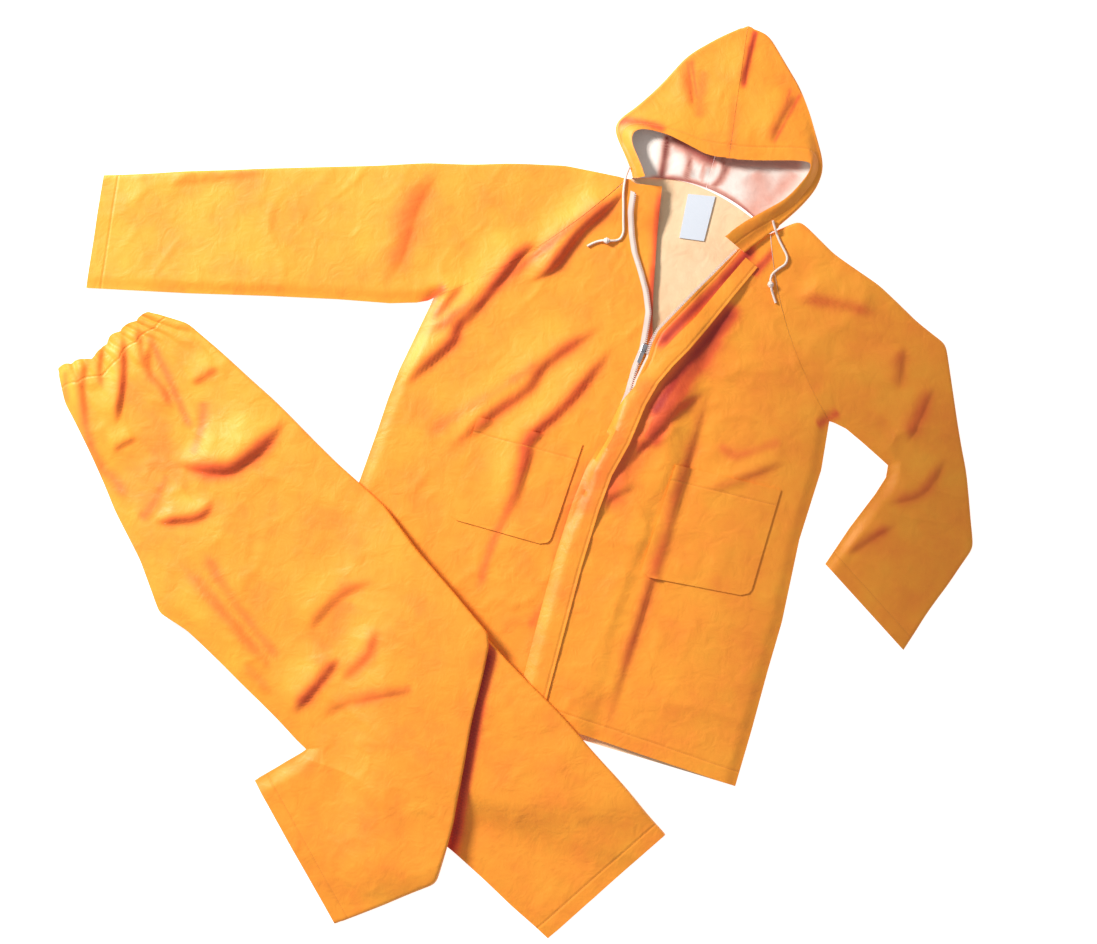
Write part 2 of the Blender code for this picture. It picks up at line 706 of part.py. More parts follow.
def top_under(centre, heading, width, length, tree):
    """The highest cloth under a rectangle."""
    across = np.array([math.cos(heading), math.sin(heading)])
    along = np.array([-math.sin(heading), math.cos(heading)])
    found = []
    for u in np.linspace(-0.5, 0.5, 7):
        for v in np.linspace(-0.5, 0.5, 9):
            x, y = np.array(centre) + across * u * width + along * v * length
            hit = tree.ray_cast((x * MM, y * MM, DROP * MM), (0.0, 0.0, -1.0))
            found.append(hit[0].z / MM)
    return max(found)


def cord(name, route, finish, parent):
    """A round cord with flat ends along a route."""
    curve = bpy.data.curves.new(name, "CURVE")
    curve.dimensions = "3D"
    curve.bevel_depth = CORD / 2 * MM
    curve.bevel_resolution = 2
    curve.render_resolution_u = 0
    curve.use_fill_caps = True
    spline = curve.splines.new("POLY")
    spline.points.add(len(route) - 1)
    for point, place in zip(spline.points, route * MM):
        point.co = (*place, 1.0)
    return placed(name, curve, finish, parent)


def knot(name, route, finish, parent):
    """A knot and the short tail beyond it: rings about the route, wide over its first stretch."""
    travelled = np.concatenate([[0.0], np.cumsum(np.linalg.norm(np.diff(route, axis=0), axis=1))])
    stations = np.concatenate([np.linspace(0.0, KNOT, 7), np.linspace(KNOT, travelled[-1], 4)[1:]])
    sides = 10
    mesh = bmesh.new()
    rings = []
    for station in stations:
        centre = np.array([np.interp(station, travelled, route[:, k]) for k in range(3)])
        ahead = np.array([np.interp(station + 1.0, travelled, route[:, k]) for k in range(3)])
        behind = np.array([np.interp(station - 1.0, travelled, route[:, k]) for k in range(3)])
        way = unit(ahead - behind)
        aside = unit(np.cross(way, (0.0, 0.0, 1.0)))
        rise = np.cross(aside, way)
        swell = math.sin(math.pi * min(station / KNOT, 1.0))
        radius = CORD / 2 + (KNOT - CORD) / 2 * math.sqrt(max(swell, 0.0))
        ring = []
        for k in range(sides):
            angle = 2 * math.pi * k / sides
            point = centre + radius * (math.cos(angle) * aside + math.sin(angle) * rise)
            ring.append(mesh.verts.new(point * MM))
        rings.append(ring)
    for here, there in zip(rings, rings[1:]):
        for k in range(sides):
            after = (k + 1) % sides
            mesh.faces.new((here[k], here[after], there[after], there[k]))
    mesh.faces.new(rings[0][::-1])
    mesh.faces.new(rings[-1])
    bmesh.ops.recalc_face_normals(mesh, faces=mesh.faces)
    data = bpy.data.meshes.new(name)
    mesh.to_mesh(data)
    mesh.free()
    data.shade_smooth()
    return placed(name, data, finish, parent)


def drawcord(name, flat_route, knot_share, tree, finish, parent):
    """A drawcord that ends at the face of its knot, which is a piece of its own."""
    flat = smooth_route(np.array(flat_route, float), 4)
    travelled = np.concatenate([[0.0], np.cumsum(np.linalg.norm(np.diff(flat, axis=0), axis=1))])
    start = knot_share * travelled[-1]
    knotted = np.abs(travelled - start - KNOT / 2) < KNOT
    radii = np.where(knotted, KNOT, CORD) / 2 + 2 * APART
    z = np.array([sunk(point, radius, tree) for point, radius in zip(flat, radii)])
    steepest = STEEPEST * np.abs(travelled[:, None] - travelled[None, :])
    route = np.column_stack([flat, (z[None, :] - steepest).max(axis=1)])

    def at(places):
        return np.stack([np.interp(places, travelled, route[:, k]) for k in range(3)], axis=1)

    end = at([start])
    way = unit(at([start + KNOT]) - at([start - KNOT]))
    before = at(np.arange(0.0, start - 2.0 * CORD, 2.0 * CORD))
    upper = np.concatenate([before, end - way * CORD, end])
    beyond = at(np.linspace(start + 1.6 * KNOT, travelled[-1], 4))
    lower = np.concatenate([end + way * APART, end + way * (APART + KNOT), beyond])
    cord(name, upper, finish, parent)
    knot(name + "_knot", lower, finish, parent)


def block(name, size, finish, parent, bevel):
    """A bevelled block about its own origin, in millimetres."""
    mesh = bpy.data.meshes.new(name)
    x, y, z = (side / 2 * MM for side in size)
    corners = [(i * x, j * y, k * z) for i in (-1, 1) for j in (-1, 1) for k in (-1, 1)]
    faces = [(0, 1, 3, 2), (4, 6, 7, 5), (0, 4, 5, 1), (2, 3, 7, 6), (0, 2, 6, 4), (1, 5, 7, 3)]
    mesh.from_pydata(corners, [], faces)
    piece = placed(name, mesh, finish, parent)
    edge = piece.modifiers.new("Rounded edges", "BEVEL")
    edge.width = bevel * MM
    edge.segments = 2
    return piece


def zip_slider(centre, heading, finish, parent):
    """The slider's body with the bridge that holds the pull, joined to one solid."""
    body = block("zip_slider", (SLIDER_WIDTH, SLIDER_LENGTH, SLIDER_HEIGHT), finish, parent, 1.0)
    body.location = [place * MM for place in centre]
    body.rotation_euler = (0.0, 0.0, heading)
    top = SLIDER_HEIGHT / 2 * MM
    low = BRIDGE_GAP * MM
    high = (BRIDGE_GAP + BRIDGE_THICK) * MM
    inner = (BRIDGE_SPAN / 2 - BRIDGE_THICK) * MM
    outer = BRIDGE_SPAN / 2 * MM
    sink = 0.5 * MM
    outline = (
        (-outer, -sink), (-outer, high), (outer, high), (outer, -sink),
        (inner, -sink), (inner, low), (-inner, low), (-inner, -sink),
    )
    mesh = bmesh.new()
    half = BRIDGE_WIDTH / 2 * MM
    face = mesh.faces.new([mesh.verts.new((-half, y, z + top)) for y, z in outline])
    made = bmesh.ops.extrude_face_region(mesh, geom=[face])
    moved = [item for item in made["geom"] if isinstance(item, bmesh.types.BMVert)]
    bmesh.ops.translate(mesh, verts=moved, vec=(2 * half, 0.0, 0.0))
    bmesh.ops.recalc_face_normals(mesh, faces=mesh.faces)
    data = bpy.data.meshes.new("bridge")
    mesh.to_mesh(data)
    mesh.free()
    bridge = placed("bridge", data, finish, parent)
    bridge.location = body.location
    bridge.rotation_euler = body.rotation_euler
    bridge.hide_render = True
    bridge.display_type = "WIRE"
    join = body.modifiers.new("Bridge", "BOOLEAN")
    join.operation = "UNION"
    join.object = bridge
    return body


def zip_pull(hinge, heading, finish, parent):
    """The pull tab, its origin on the bar that turns under the bridge."""
    pull = block("zip_pull", (PULL_WIDTH, PULL_LENGTH, PULL_THICK), finish, parent, 0.25)
    middle = (PULL_THICK - PULL_LENGTH) / 2 * MM
    pull.data.transform(Matrix.Translation((0.0, middle, 0.0)))
    pull.location = [place * MM for place in hinge]
    pull.rotation_euler = (0.0, 0.0, heading)
    eye = block("eye", (EYE_WIDTH, EYE_LENGTH, 3 * PULL_THICK), finish, parent, 0.2)
    eye.data.transform(Matrix.Translation((0.0, -(PULL_THICK + EYE_LENGTH) / 2 * MM, 0.0)))
    eye.location = pull.location
    eye.rotation_euler = pull.rotation_euler
    eye.hide_render = True
    eye.display_type = "WIRE"
    cut = pull.modifiers.new("Eye", "BOOLEAN")
    cut.operation = "DIFFERENCE"
    cut.object = eye
    return pull


def closing(line):
    """A share that falls to 0 at a closed seam, where the two layers are sewn together."""

    def share(x, y):
        return smooth(np.abs(to_line(x, y, line)[0]) / SEAM_SLOPE)

    return share


def surface(grid):
    """The upper surface of a layer, from its middle points."""
    return raised(grid, CLOTH / 2)


def clear_scene():
    for piece in list(bpy.data.objects):
        bpy.data.objects.remove(piece, do_unlink=True)


def jacket(suit, pile):
    shell = material("PVC coated cloth", ORANGE, 0.45)
    inside = material("label cloth", LINING, 0.7)
    tape = material("zip tape", TAPE_WHITE, 0.8)
    cotton = material("cotton cord", TAPE_WHITE, 0.9)
    metal = material("zip metal", METAL, 0.35, 1.0)

    right_seam = [row[2] for row in RIGHT_SLEEVE] + list(RIGHT_SIDE[1:])
    left_seam = [row[2] for row in LEFT_SLEEVE] + list(LEFT_SIDE[1:])
    right_closing = closing(right_seam)
    left_closing = closing(left_seam)

    def right_lift(x, y, share=None):
        return right_closing(x, y) * (LOFT + relief(x, y, JACKET_FOLDS))

    def left_lift(x, y, share=None):
        return left_closing(x, y) * (LOFT + relief(x, y, JACKET_FOLDS))

    def open_lift(x, y):
        folds = np.maximum(relief(x, y, JACKET_FOLDS), relief(x, y, OPEN_FRONT_FOLDS))
        return left_closing(x, y) * (LOFT + folds)

    # The layers that lie on the ground
    steps = (10, 16)
    right_curve = np.concatenate([raglan(RIGHT_SLEEVE, steps[0]), resampled(RIGHT_SIDE, steps[1] + 1)[1:]])
    left_curve = np.concatenate([raglan(LEFT_SLEEVE, steps[0]), resampled(LEFT_SIDE, steps[1] + 1)[1:]])
    ground = pile.over(REACH)
    back_flat = between([right_curve, left_curve], [14])
    share = np.linspace(0.0, 1.0, back_flat.shape[1])
    lift_neck = NECK_BOW * 4 * share * (1 - share)
    for row in range(4):
        back_flat[row, :, 1] += lift_neck * (1 - row / 4) ** 1.5
    back = laid(back_flat, ground, 0.0)
    right_sleeve = sleeve(RIGHT_SLEEVE)
    left_sleeve = sleeve(LEFT_SLEEVE)
    right_sleeve.lay_lower(pile, REACH)
    left_sleeve.lay_lower(pile, REACH)
    for layer in (back, right_sleeve.lower, left_sleeve.lower):
        pile.add(surface(layer))
    wall("jacket_back", back, upright(back), shell, suit)

    # The hood's lower layer lies over the neck edge of the back
    hood_right = hood_half(RIGHT_HOOD, -1)
    hood_left = hood_half(LEFT_HOOD, 1)
    hood_base = pile.copy()
    hood_right.lay_lower(hood_base, NEAR, lambda x, y: relief(x, y, HOOD_INSIDE_FOLDS))
    hood_left.lay_lower(hood_base, NEAR, lambda x, y: relief(x, y, HOOD_INSIDE_FOLDS))
    pile.add(surface(hood_right.lower))
    pile.add(surface(hood_left.lower[~hood_left.turned]))

    # Sleeves and right front
    right_sleeve.lay_upper(pile, REACH, right_lift)
    left_sleeve.lay_upper(pile, REACH, left_lift)
    zip_line = joined(RIGHT_ZIP_OPEN, RIGHT_ZIP_SHUT, steps)
    edge = joined(RIGHT_EDGE_OPEN, RIGHT_EDGE_SHUT, steps)
    toward = right_curve - zip_line
    width = np.minimum(TAPE, 0.5 * np.linalg.norm(toward, axis=1, keepdims=True))
    tape_line = zip_line + unit(toward) * width
    right_flat = between([right_curve, tape_line, zip_line, edge], [9, 1, 2])
    x, y = np.moveaxis(right_flat, 2, 0)
    right_front = laid(right_flat, pile.over(REACH), right_lift(x, y))

    # Left front, over the right front's underlap
    inner = pile.copy()
    inner.add(surface(right_front))
    left_edge = joined(LEFT_EDGE_OPEN, LEFT_EDGE_SHUT, steps)
    left_flat = between([left_edge, left_curve], [13], 1.6)
    x, y = np.moveaxis(left_flat, 2, 0)
    left_front = laid(left_flat, inner.over(REACH), open_lift(x, y))

    for layer in (right_sleeve.upper, left_sleeve.upper, right_front, left_front):
        pile.add(surface(layer))
    right_sleeve.build("sleeve_right", shell, suit)
    left_sleeve.build("sleeve_left", shell, suit)
    wall("jacket_front_right", right_front, upright(right_front), shell, suit)
    wall("jacket_front_left", left_front, upright(left_front), shell, suit)

    # Zip tapes, from the fronts' own points: the right one moved up, the left one down
    right_tape = raised(right_front[1:, 9:11], CLOTH + APART)
    outward = unit(left_front[:, 0] - left_front[:, 2]) * np.array([1.0, 1.0, 0.0])
    left_tape = np.concatenate(
        [(left_front[:, 0] + outward * TAPE_OUT)[:, None], left_front[:, :3]], axis=1
    )
    left_tape = raised(left_tape, -CLOTH - APART)
    wall("zip_tape_right", right_tape, upright(right_tape), tape, suit)
    wall("zip_tape_left", left_tape, upright(left_tape), tape, suit)
    pile.add(surface(right_tape))

    # Storm flap and pockets, laid on the fronts
    flap_free, flap_sewn = sections(STORM_FLAP, FINE)
    flap_flat = between([flap_free, flap_sewn], [3])
    flap = laid(flap_flat, pile.over(NEAR), 0.0)
    wall("storm_flap", flap, upright(flap), shell, suit)
    pile.add(surface(flap))
    for name, corners in (("pocket_right", RIGHT_POCKET), ("pocket_left", LEFT_POCKET)):
        flat = patch(corners, 8, 9, True)
        pocket = draped(flat, below([piece for piece in suit.children if piece.type == "MESH"]))
        wall(name, pocket, upright(pocket), shell, suit)
        pile.add(surface(pocket))

    # Hood's upper layer, which stands up at the rim
    def hood_lift(x, y, share):
        return (1 - smooth(share)) * HOOD_LIFT + relief(x, y, HOOD_FOLDS) * (1 - share**4) + LOFT

    hood_right.lay_upper(pile, NEAR, hood_lift)
    hood_left.lay_upper(pile, NEAR, hood_lift)
    turn_under(hood_left)
    pile.add(surface(hood_right.upper))
    pile.add(surface(hood_left.upper))
    hood_right.build("hood_right", shell, suit)
    hood_left.build("hood_left", shell, suit)

    # Label, on the inside of the back
    inside_back = Pile()
    inside_back.add(surface(back))
    flat = patch(LABEL, 2, 3, False)
    label = laid(flat, inside_back.over(NEAR), 0.0)
    wall("label", label, upright(label), inside, suit)

    # Slider on the zip where the two tapes meet, and its pull
    way = np.array(SLIDER_PLACE[1]) - np.array(SLIDER_PLACE[0])
    heading = math.atan2(way[1], way[0]) + math.pi / 2
    cloth = [piece for piece in suit.children if piece.type == "MESH"]
    tree = below(cloth)
    rest = top_under(SLIDER_PLACE[0], heading, SLIDER_WIDTH, SLIDER_LENGTH, tree) + APART
    centre = (*SLIDER_PLACE[0], rest + SLIDER_HEIGHT / 2)
    hinge = (*SLIDER_PLACE[0], rest + SLIDER_HEIGHT + HINGE_HEIGHT)
    zip_slider(centre, heading, metal, suit)
    zip_pull(hinge, heading, metal, suit)

    # Drawcords
    drawcord("drawcord_right", RIGHT_CORD, RIGHT_KNOT, tree, cotton, suit)
    drawcord("drawcord_left", LEFT_CORD, LEFT_KNOT, tree, cotton, suit)


def trousers(suit, pile):
    shell = material("PVC coated cloth, trousers", ORANGE_SHADE, 0.45)
    under = leg(RIGHT_LEG, 6, 5, WIDE)
    over = leg(LEFT_LEG, 12, 5, WIDE)

    def plain_lift(x, y, share):
        return smooth(share / 0.1) * LOFT

    def creased_lift(x, y, share):
        return smooth(share / 0.1) * (LOFT + relief(x, y, TROUSER_FOLDS))

    under.lay_lower(pile, REACH)
    pile.add(surface(under.lower))
    under.lay_upper(pile, REACH, plain_lift)
    pile.add(surface(under.upper))
    over.lay_lower(pile, REACH)
    pile.add(surface(over.lower))
    over.lay_upper(pile, REACH, creased_lift)
    under.build("trousers_right_leg", shell, suit)
    over.build("trousers_left_leg", shell, suit)


def main():
    clear_scene()
    suit = bpy.data.objects.new("suit", None)
    bpy.context.scene.collection.objects.link(suit)
    pile = Pile()
    jacket(suit, pile)
    trousers(suit, pile)


main()
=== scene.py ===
# %% [markdown]
# # A rain suit, laid flat
# This file dresses the solids of a rain suit: a hooded jacket lying open at the neck, and its
# trousers folded in half over the jacket's lower corner. The solids give every place and size in
# metres. Here each sewn piece is made again as thin coated cloth, with its finer creases, stitching
# and both faces of the cloth, and it takes the place of its plain solid.

# %% Load the solids
import math

import bmesh
import bpy
import numpy as np
from mathutils.bvhtree import BVHTree
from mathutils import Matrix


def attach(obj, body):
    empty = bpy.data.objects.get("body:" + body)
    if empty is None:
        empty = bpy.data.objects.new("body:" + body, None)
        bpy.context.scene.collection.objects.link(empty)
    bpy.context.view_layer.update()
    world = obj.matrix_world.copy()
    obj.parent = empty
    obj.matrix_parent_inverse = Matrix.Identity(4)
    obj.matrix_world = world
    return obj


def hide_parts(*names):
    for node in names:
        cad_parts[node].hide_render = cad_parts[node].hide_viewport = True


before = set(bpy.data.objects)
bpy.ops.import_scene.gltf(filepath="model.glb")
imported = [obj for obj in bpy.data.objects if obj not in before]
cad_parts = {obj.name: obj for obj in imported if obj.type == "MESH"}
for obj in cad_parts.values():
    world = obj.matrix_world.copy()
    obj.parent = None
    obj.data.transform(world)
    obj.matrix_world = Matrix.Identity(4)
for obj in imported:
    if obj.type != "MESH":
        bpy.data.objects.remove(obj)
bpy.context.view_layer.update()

MM = 0.001


def added(name, data):
    """A new object in the scene, from mesh, lamp or camera data."""
    made = bpy.data.objects.new(name, data)
    bpy.context.scene.collection.objects.link(made)
    return made


print("solids:", len(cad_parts))

# %% [markdown]
# ## Camera
# The suit was photographed from straight above. A long lens keeps the edges of such a wide, flat
# object from leaning outwards. The height follows from the lens: 1.5 mm of the suit to a pixel.

# %% Camera
FRAME_WIDE = 1.6455  # metres across the picture
PICTURE_MIDDLE = (0.048, 0.015)
eye = bpy.data.cameras.new("camera")
eye.lens = 85.0
eye.sensor_width = 36.0
camera = added("camera", eye)
camera.location = (*PICTURE_MIDDLE, FRAME_WIDE * eye.lens / eye.sensor_width)
bpy.context.scene.camera = camera
print("camera height:", round(camera.location.z, 3))

# %% [markdown]
# ## Light
# Coated cloth is read by its folds, so one large light stands low at the upper left and rakes over
# them, and an even white room fills the far side of each fold. The long slopes of the folds face
# the light and the short ones turn away from it. A dark board, out of sight, throws the soft shadow
# that lies over the lower left sleeve.

# %% Light
KEY_FROM = (-2.3, 1.9, 1.9)
KEY_SIZE = 0.75
KEY_POWER = 190.0
ROOM = 0.41
FLAG_PLACE = (-0.30, 0.56, 0.684)  # a dark board between the lamp and the lower left sleeve
FLAG_SIZE = (0.42, 0.56)

lamp = bpy.data.lights.new("key", "AREA")
lamp.shape = "DISK"
lamp.size = KEY_SIZE
lamp.energy = KEY_POWER
lamp.color = (1.0, 0.97, 0.93)
key = added("key", lamp)
key.location = KEY_FROM
aim = key.location.normalized()
key.rotation_euler = aim.to_track_quat("Z", "Y").to_euler()

bpy.ops.object.select_all(action="DESELECT")
bpy.ops.mesh.primitive_plane_add(size=1.0, location=FLAG_PLACE)
flag = bpy.context.object
flag.name = "flag"
flag.scale = (*FLAG_SIZE, 1.0)
for ray in ("camera", "diffuse", "glossy", "transmission"):
    setattr(flag, "visible_" + ray, False)

room = bpy.data.worlds.new("room")
room.use_nodes = True
air = room.node_tree.nodes["Background"].inputs
air["Color"].default_value = (1.0, 1.0, 1.0, 1.0)
air["Strength"].default_value = ROOM
bpy.context.scene.world = room
bpy.context.scene.view_settings.view_transform = "Standard"
print("key light:", KEY_POWER, "W, room:", ROOM)

# %% [markdown]
# ## Colours and nodes
# Colours are chosen as hex values, as on a screen, and a shader wants them linear, so one function
# turns them. Another adds a node with its settings and its links, and every material uses it.

# %% Colours and nodes
def linear(hex_colour):
    """A screen colour such as 'FF9F33' as linear red, green, blue and alpha."""
    parts = [int(hex_colour[k:k + 2], 16) / 255 for k in (0, 2, 4)]
    return (*(c / 12.92 if c <= 0.04045 else ((c + 0.055) / 1.055) ** 2.4 for c in parts), 1.0)


def node(tree, kind, settings=None, values=None, links=None):
    """Adds a node. Values are set on its inputs, and links join other nodes' outputs to them."""
    made = tree.nodes.new(kind)
    for key_name, value in (settings or {}).items():
        setattr(made, key_name, value)
    for socket, value in (values or {}).items():
        made.inputs[socket].default_value = value
    for socket, (source, output) in (links or {}).items():
        tree.links.new(source.outputs[output], made.inputs[socket])
    return made


def finish(name, **constants):
    """A new material with its shader, and the constants set on the shader's own sockets."""
    made = bpy.data.materials.new(name)
    made.use_nodes = True
    shader = made.node_tree.nodes["Principled BSDF"]
    for socket, value in constants.items():
        shader.inputs[socket.replace("_", " ")].default_value = value
    return made, made.node_tree, shader

# %% [markdown]
# ## Coated cloth
# Rain suits of this kind are polyester, woven of fine yarn and coated with PVC on one side. The
# coat gives the colour a dull wet sheen, and the uncoated side stays whitish. In a fold, light
# bounces from orange to orange and comes out redder; here that shade is painted into the colour,
# deeper in the creases, with a painted highlight on slopes that face the light.
# The yarn is about 0.2 mm thick, too fine for the picture, so the weave is drawn at 1.6 mm. Rows of
# lockstitch follow the hems: the thread sinks into the cloth, with a pucker on each side.

# %% Coated cloth
WEAVE = 1.6  # sizes in mm
CRUMPLE = 26.0
STITCH = 3.2
THREAD = 0.6  # half the thread's width, and half the groove that it sinks into
GROOVE = 3.0
DASH = 0.72  # the share of a stitch where its thread shows
CLOUDS = 0.42  # how far the colour drifts from place to place
OPEN = 0.3  # depth of painted shade where the cloth lies open, and in a fold
FOLDED = 0.62


def ramp(tree, source, stops):
    """A colour ramp through (place, colour) stops."""
    made = node(tree, "ShaderNodeValToRGB", links={"Fac": source})
    ends = made.color_ramp.elements
    while len(ends) < len(stops):
        ends.new(0.5)
    for end, (place, colour) in zip(ends, stops):
        end.position = place
        end.color = colour
    return made


def calc(tree, operation, first, second):
    """One sum of two values, each a number or a node's output."""
    made = node(tree, "ShaderNodeMath", {"operation": operation})
    for socket, value in enumerate((first, second)):
        if isinstance(value, tuple):
            tree.links.new(value[0].outputs[value[1]], made.inputs[socket])
        else:
            made.inputs[socket].default_value = value
    return made, 0


def stitch_rows(tree):
    """Thread and groove of the stitched rows, from the two distances kept on the cloth."""
    cut = node(tree, "ShaderNodeUVMap", {"uv_map": "cut"})
    axes = node(tree, "ShaderNodeSeparateXYZ", links={"Vector": (cut, "UV")})
    threads = []
    grooves = []
    for name, axis in (("stitch_across", "X"), ("stitch_along", "Y")):
        away = node(tree, "ShaderNodeAttribute", {"attribute_name": name})
        off = calc(tree, "ABSOLUTE", (away, "Fac"), 0.0)
        run = calc(tree, "MULTIPLY", (axes, axis), 1.0 / (STITCH * MM))
        beat = calc(tree, "FRACT", run, 0.0)
        dash = calc(tree, "LESS_THAN", beat, DASH)
        near = calc(tree, "LESS_THAN", off, THREAD)
        threads.append(calc(tree, "MULTIPLY", dash, near))
        share = calc(tree, "DIVIDE", off, GROOVE)
        grooves.append(calc(tree, "MINIMUM", share, 1.0))
    thread = calc(tree, "MAXIMUM", threads[0], threads[1])
    groove = calc(tree, "MINIMUM", grooves[0], grooves[1])
    return thread, groove


def noise(tree, scale, detail, **values):
    """A noise through the piece's own space."""
    place = node(tree, "ShaderNodeTexCoord")
    return node(
        tree, "ShaderNodeTexNoise", values={"Scale": scale, "Detail": detail, **values},
        links={"Vector": (place, "Object")},
    )


def bump(tree, height, strength, distance, under=None):
    """A bump from a height, which may lie on another bump."""
    links = {"Height": height}
    if under:
        links["Normal"] = (under, "Normal")
    return node(
        tree, "ShaderNodeBump", values={"Strength": strength, "Distance": distance}, links=links
    )


def coated(name, colours, thread_colour, roughness, sheen, rise):
    """One side of the cloth. The four colours are painted light and shade: a painted highlight for
    slopes that face the light, open cloth, and painted shade for folds and the deepest folds."""
    made, tree, shader = finish(
        name, Roughness=roughness, IOR=1.5, Sheen_Weight=sheen, Sheen_Roughness=0.5
    )
    # The 'fold' attribute is painted light and shade: deeper colour in folds and beside shade lines,
    # paler on slopes that face the light.
    fold = node(tree, "ShaderNodeAttribute", {"attribute_name": "fold"})
    cloud = noise(tree, 16.0, 4.0, Roughness=0.6)
    centred = calc(tree, "SUBTRACT", (cloud, "Fac"), 0.5)
    drift = calc(tree, "MULTIPLY", centred, CLOUDS)
    depth = calc(tree, "ADD", (fold, "Fac"), drift)
    stops = zip((0.0, OPEN, FOLDED, 1.0), [linear(colour) for colour in colours])
    colour = ramp(tree, depth, tuple(stops))
    thread, groove = stitch_rows(tree)
    sewn_in = node(
        tree, "ShaderNodeMix", {"data_type": "RGBA"},
        values={"B": linear(thread_colour)}, links={"Factor": thread, "A": (colour, "Color")},
    )
    tree.links.new(sewn_in.outputs["Result"], shader.inputs["Base Color"])
    crumple = noise(tree, 1.0 / (CRUMPLE * MM), 5.0, Roughness=0.55, Distortion=0.6)
    weave = noise(tree, 1.0 / (WEAVE * MM), 1.0)
    low = bump(tree, (crumple, "Fac"), rise, 0.006)
    yarn = bump(tree, (weave, "Fac"), 0.12, 0.0006, low)
    rows = bump(tree, groove, 0.7, 0.0008, yarn)
    tree.links.new(rows.outputs["Normal"], shader.inputs["Normal"])
    return made


# Each finish's first colour is a painted highlight for slopes that face the light, the second is open
# cloth, and the last two are painted shade for folds and the deepest folds.
outside = coated(
    "PVC coated polyester", ("FFB733", "FF9C2B", "F0642A", "AE2A1E"), "F08E2C", 0.54, 0.02, 0.3
)
inside = coated(
    "uncoated polyester back", ("FFFBF6", "F3E8E0", "E2A99A", "9C3A30"), "D9C8BE", 0.75, 0.15, 0.3
)
back_inside = coated(
    "uncoated back, lit through", ("FBE0BA", "F6D2A8", "E79A68", "B04A30"), "D9B890", 0.75, 0.15, 0.3
)

# %% [markdown]
# ## Small things: tape, cord, label, metal
# Zip tape and drawcord are undyed polyester, a faint warm off-white. The
# label is a bare woven tab. The slider and its pull are die-cast zinc with a satin plating.

# %% Tape, cord, label and metal
def woven(name, colour, thread_mm, roughness):
    """Plain woven or braided goods, with bands a thread wide."""
    made, tree, shader = finish(name, Roughness=roughness, Sheen_Weight=0.2)
    shader.inputs["Base Color"].default_value = linear(colour)
    place = node(tree, "ShaderNodeTexCoord")
    rows = node(
        tree, "ShaderNodeTexWave", {"bands_direction": "DIAGONAL"},
        values={"Scale": 0.3 / (thread_mm * MM), "Distortion": 1.5},
        links={"Vector": (place, "Object")},
    )
    ridges = bump(tree, (rows, "Fac"), 0.5, 0.0006)
    tree.links.new(ridges.outputs["Normal"], shader.inputs["Normal"])
    return made


def plated(name, colour, roughness):
    """Die-cast metal with a satin plating, slightly uneven."""
    made, tree, shader = finish(name, Metallic=1.0)
    shader.inputs["Base Color"].default_value = linear(colour)
    spots = noise(tree, 900.0, 2.0)
    rough = node(
        tree, "ShaderNodeMapRange",
        values={"To Min": roughness - 0.06, "To Max": roughness + 0.1},
        links={"Value": (spots, "Fac")},
    )
    tree.links.new(rough.outputs["Result"], shader.inputs["Roughness"])
    return made


tape_cloth = woven("woven polyester tape", "F0DCD2", 1.2, 0.8)
cord_cloth = woven("braided cotton cord", "F1DED4", 1.6, 0.85)
label_cloth = woven("woven label", "DDE4F0", 1.2, 0.7)
zinc = plated("plated zinc", "B9BAC0", 0.36)
teeth_plastic = woven("moulded zip teeth", "E6D8D0", 4.0, 0.4)
print("finishes:", len(bpy.data.materials))

# %% [markdown]
# ## Measures of the laid cloth
# All places are in millimetres, seen from above, with the middle of the whole outline at the
# origin; right and left are the wearer's. The solids are built from the same outlines, so a piece
# made here lies where its solid lies. Its points are closer together, its folds are lower, softer
# and more of them, and cloth that is hidden under the trousers lies flat.

# %% Measures
CLOTH = 1.5  # thickness of a solid's wall
SHELL = 1.1  # thickness of the cloth made here
APART = 0.3  # gap between two layers that touch
LOFT = 2.4  # air between two layers that lie flat
TURN = 4.0  # from a folded outline to where its round turn begins
SEAM_SLOPE = 20.0  # a layer comes down to its closed seam over this width
SEAM_SHARE = 0.2  # half the gap between two pieces sewn edge to edge
TURNING = 8.0  # the narrow turning of the hood on the left front
HOOD_LIFT = 12.0  # how high the hood's mouth stands open
LIGHT_SIDE = (-0.8, 0.6)  # towards the light
CELL = 5.0  # the height lattice: its cell, half its span, and the cells that it is softened over
HALF_SPAN = 800.0
SOFTEN = 2
REACH = 40.0  # how far round itself a large piece clears what lies below, and a small one
NEAR = 12.0
SPACING = 4.5  # between a piece's sections
STEEPEST = 0.6  # slope of a drawcord
DROP = 80.0  # the height from which things are let down
CORD = 3.5
KNOT = 9.0
TAPE = 7.0  # width of the right zip tape, and how far the left one stands out
TAPE_OUT = 3.0
POCKET_CORNER = 14.0
HEM = 22.0  # from a hem's edge to its row of stitches
SOFT = 1.35  # how much softer the folds are here than the solids' folds
WAVE = 2.4  # height of the low waves
CREASE = 1.4  # height of the small creases
FOLD_RISE = 0.8  # how high the folds are here beside the solids' folds
FOLD_FADE = 0.28  # the share of its line over which a fold fades, at each end
FULL_FOLD = 10.0  # a fold this high has its full painted shade
FOLD_SHADE = 0.55  # that painted shade's depth
SHADE_FADE = 0.12  # as FOLD_FADE, for a shade line
UNEVEN = 60.0  # size of the lumps that make a fold uneven along its line
FOOT = (0.3, 0.8)  # middle and width of a fold's band of painted shade, in widths of its short slope
LIT = (2.8, 1.6)  # and of the band of painted highlight beyond it
PALE = 0.7  # how much paler the painted highlight is
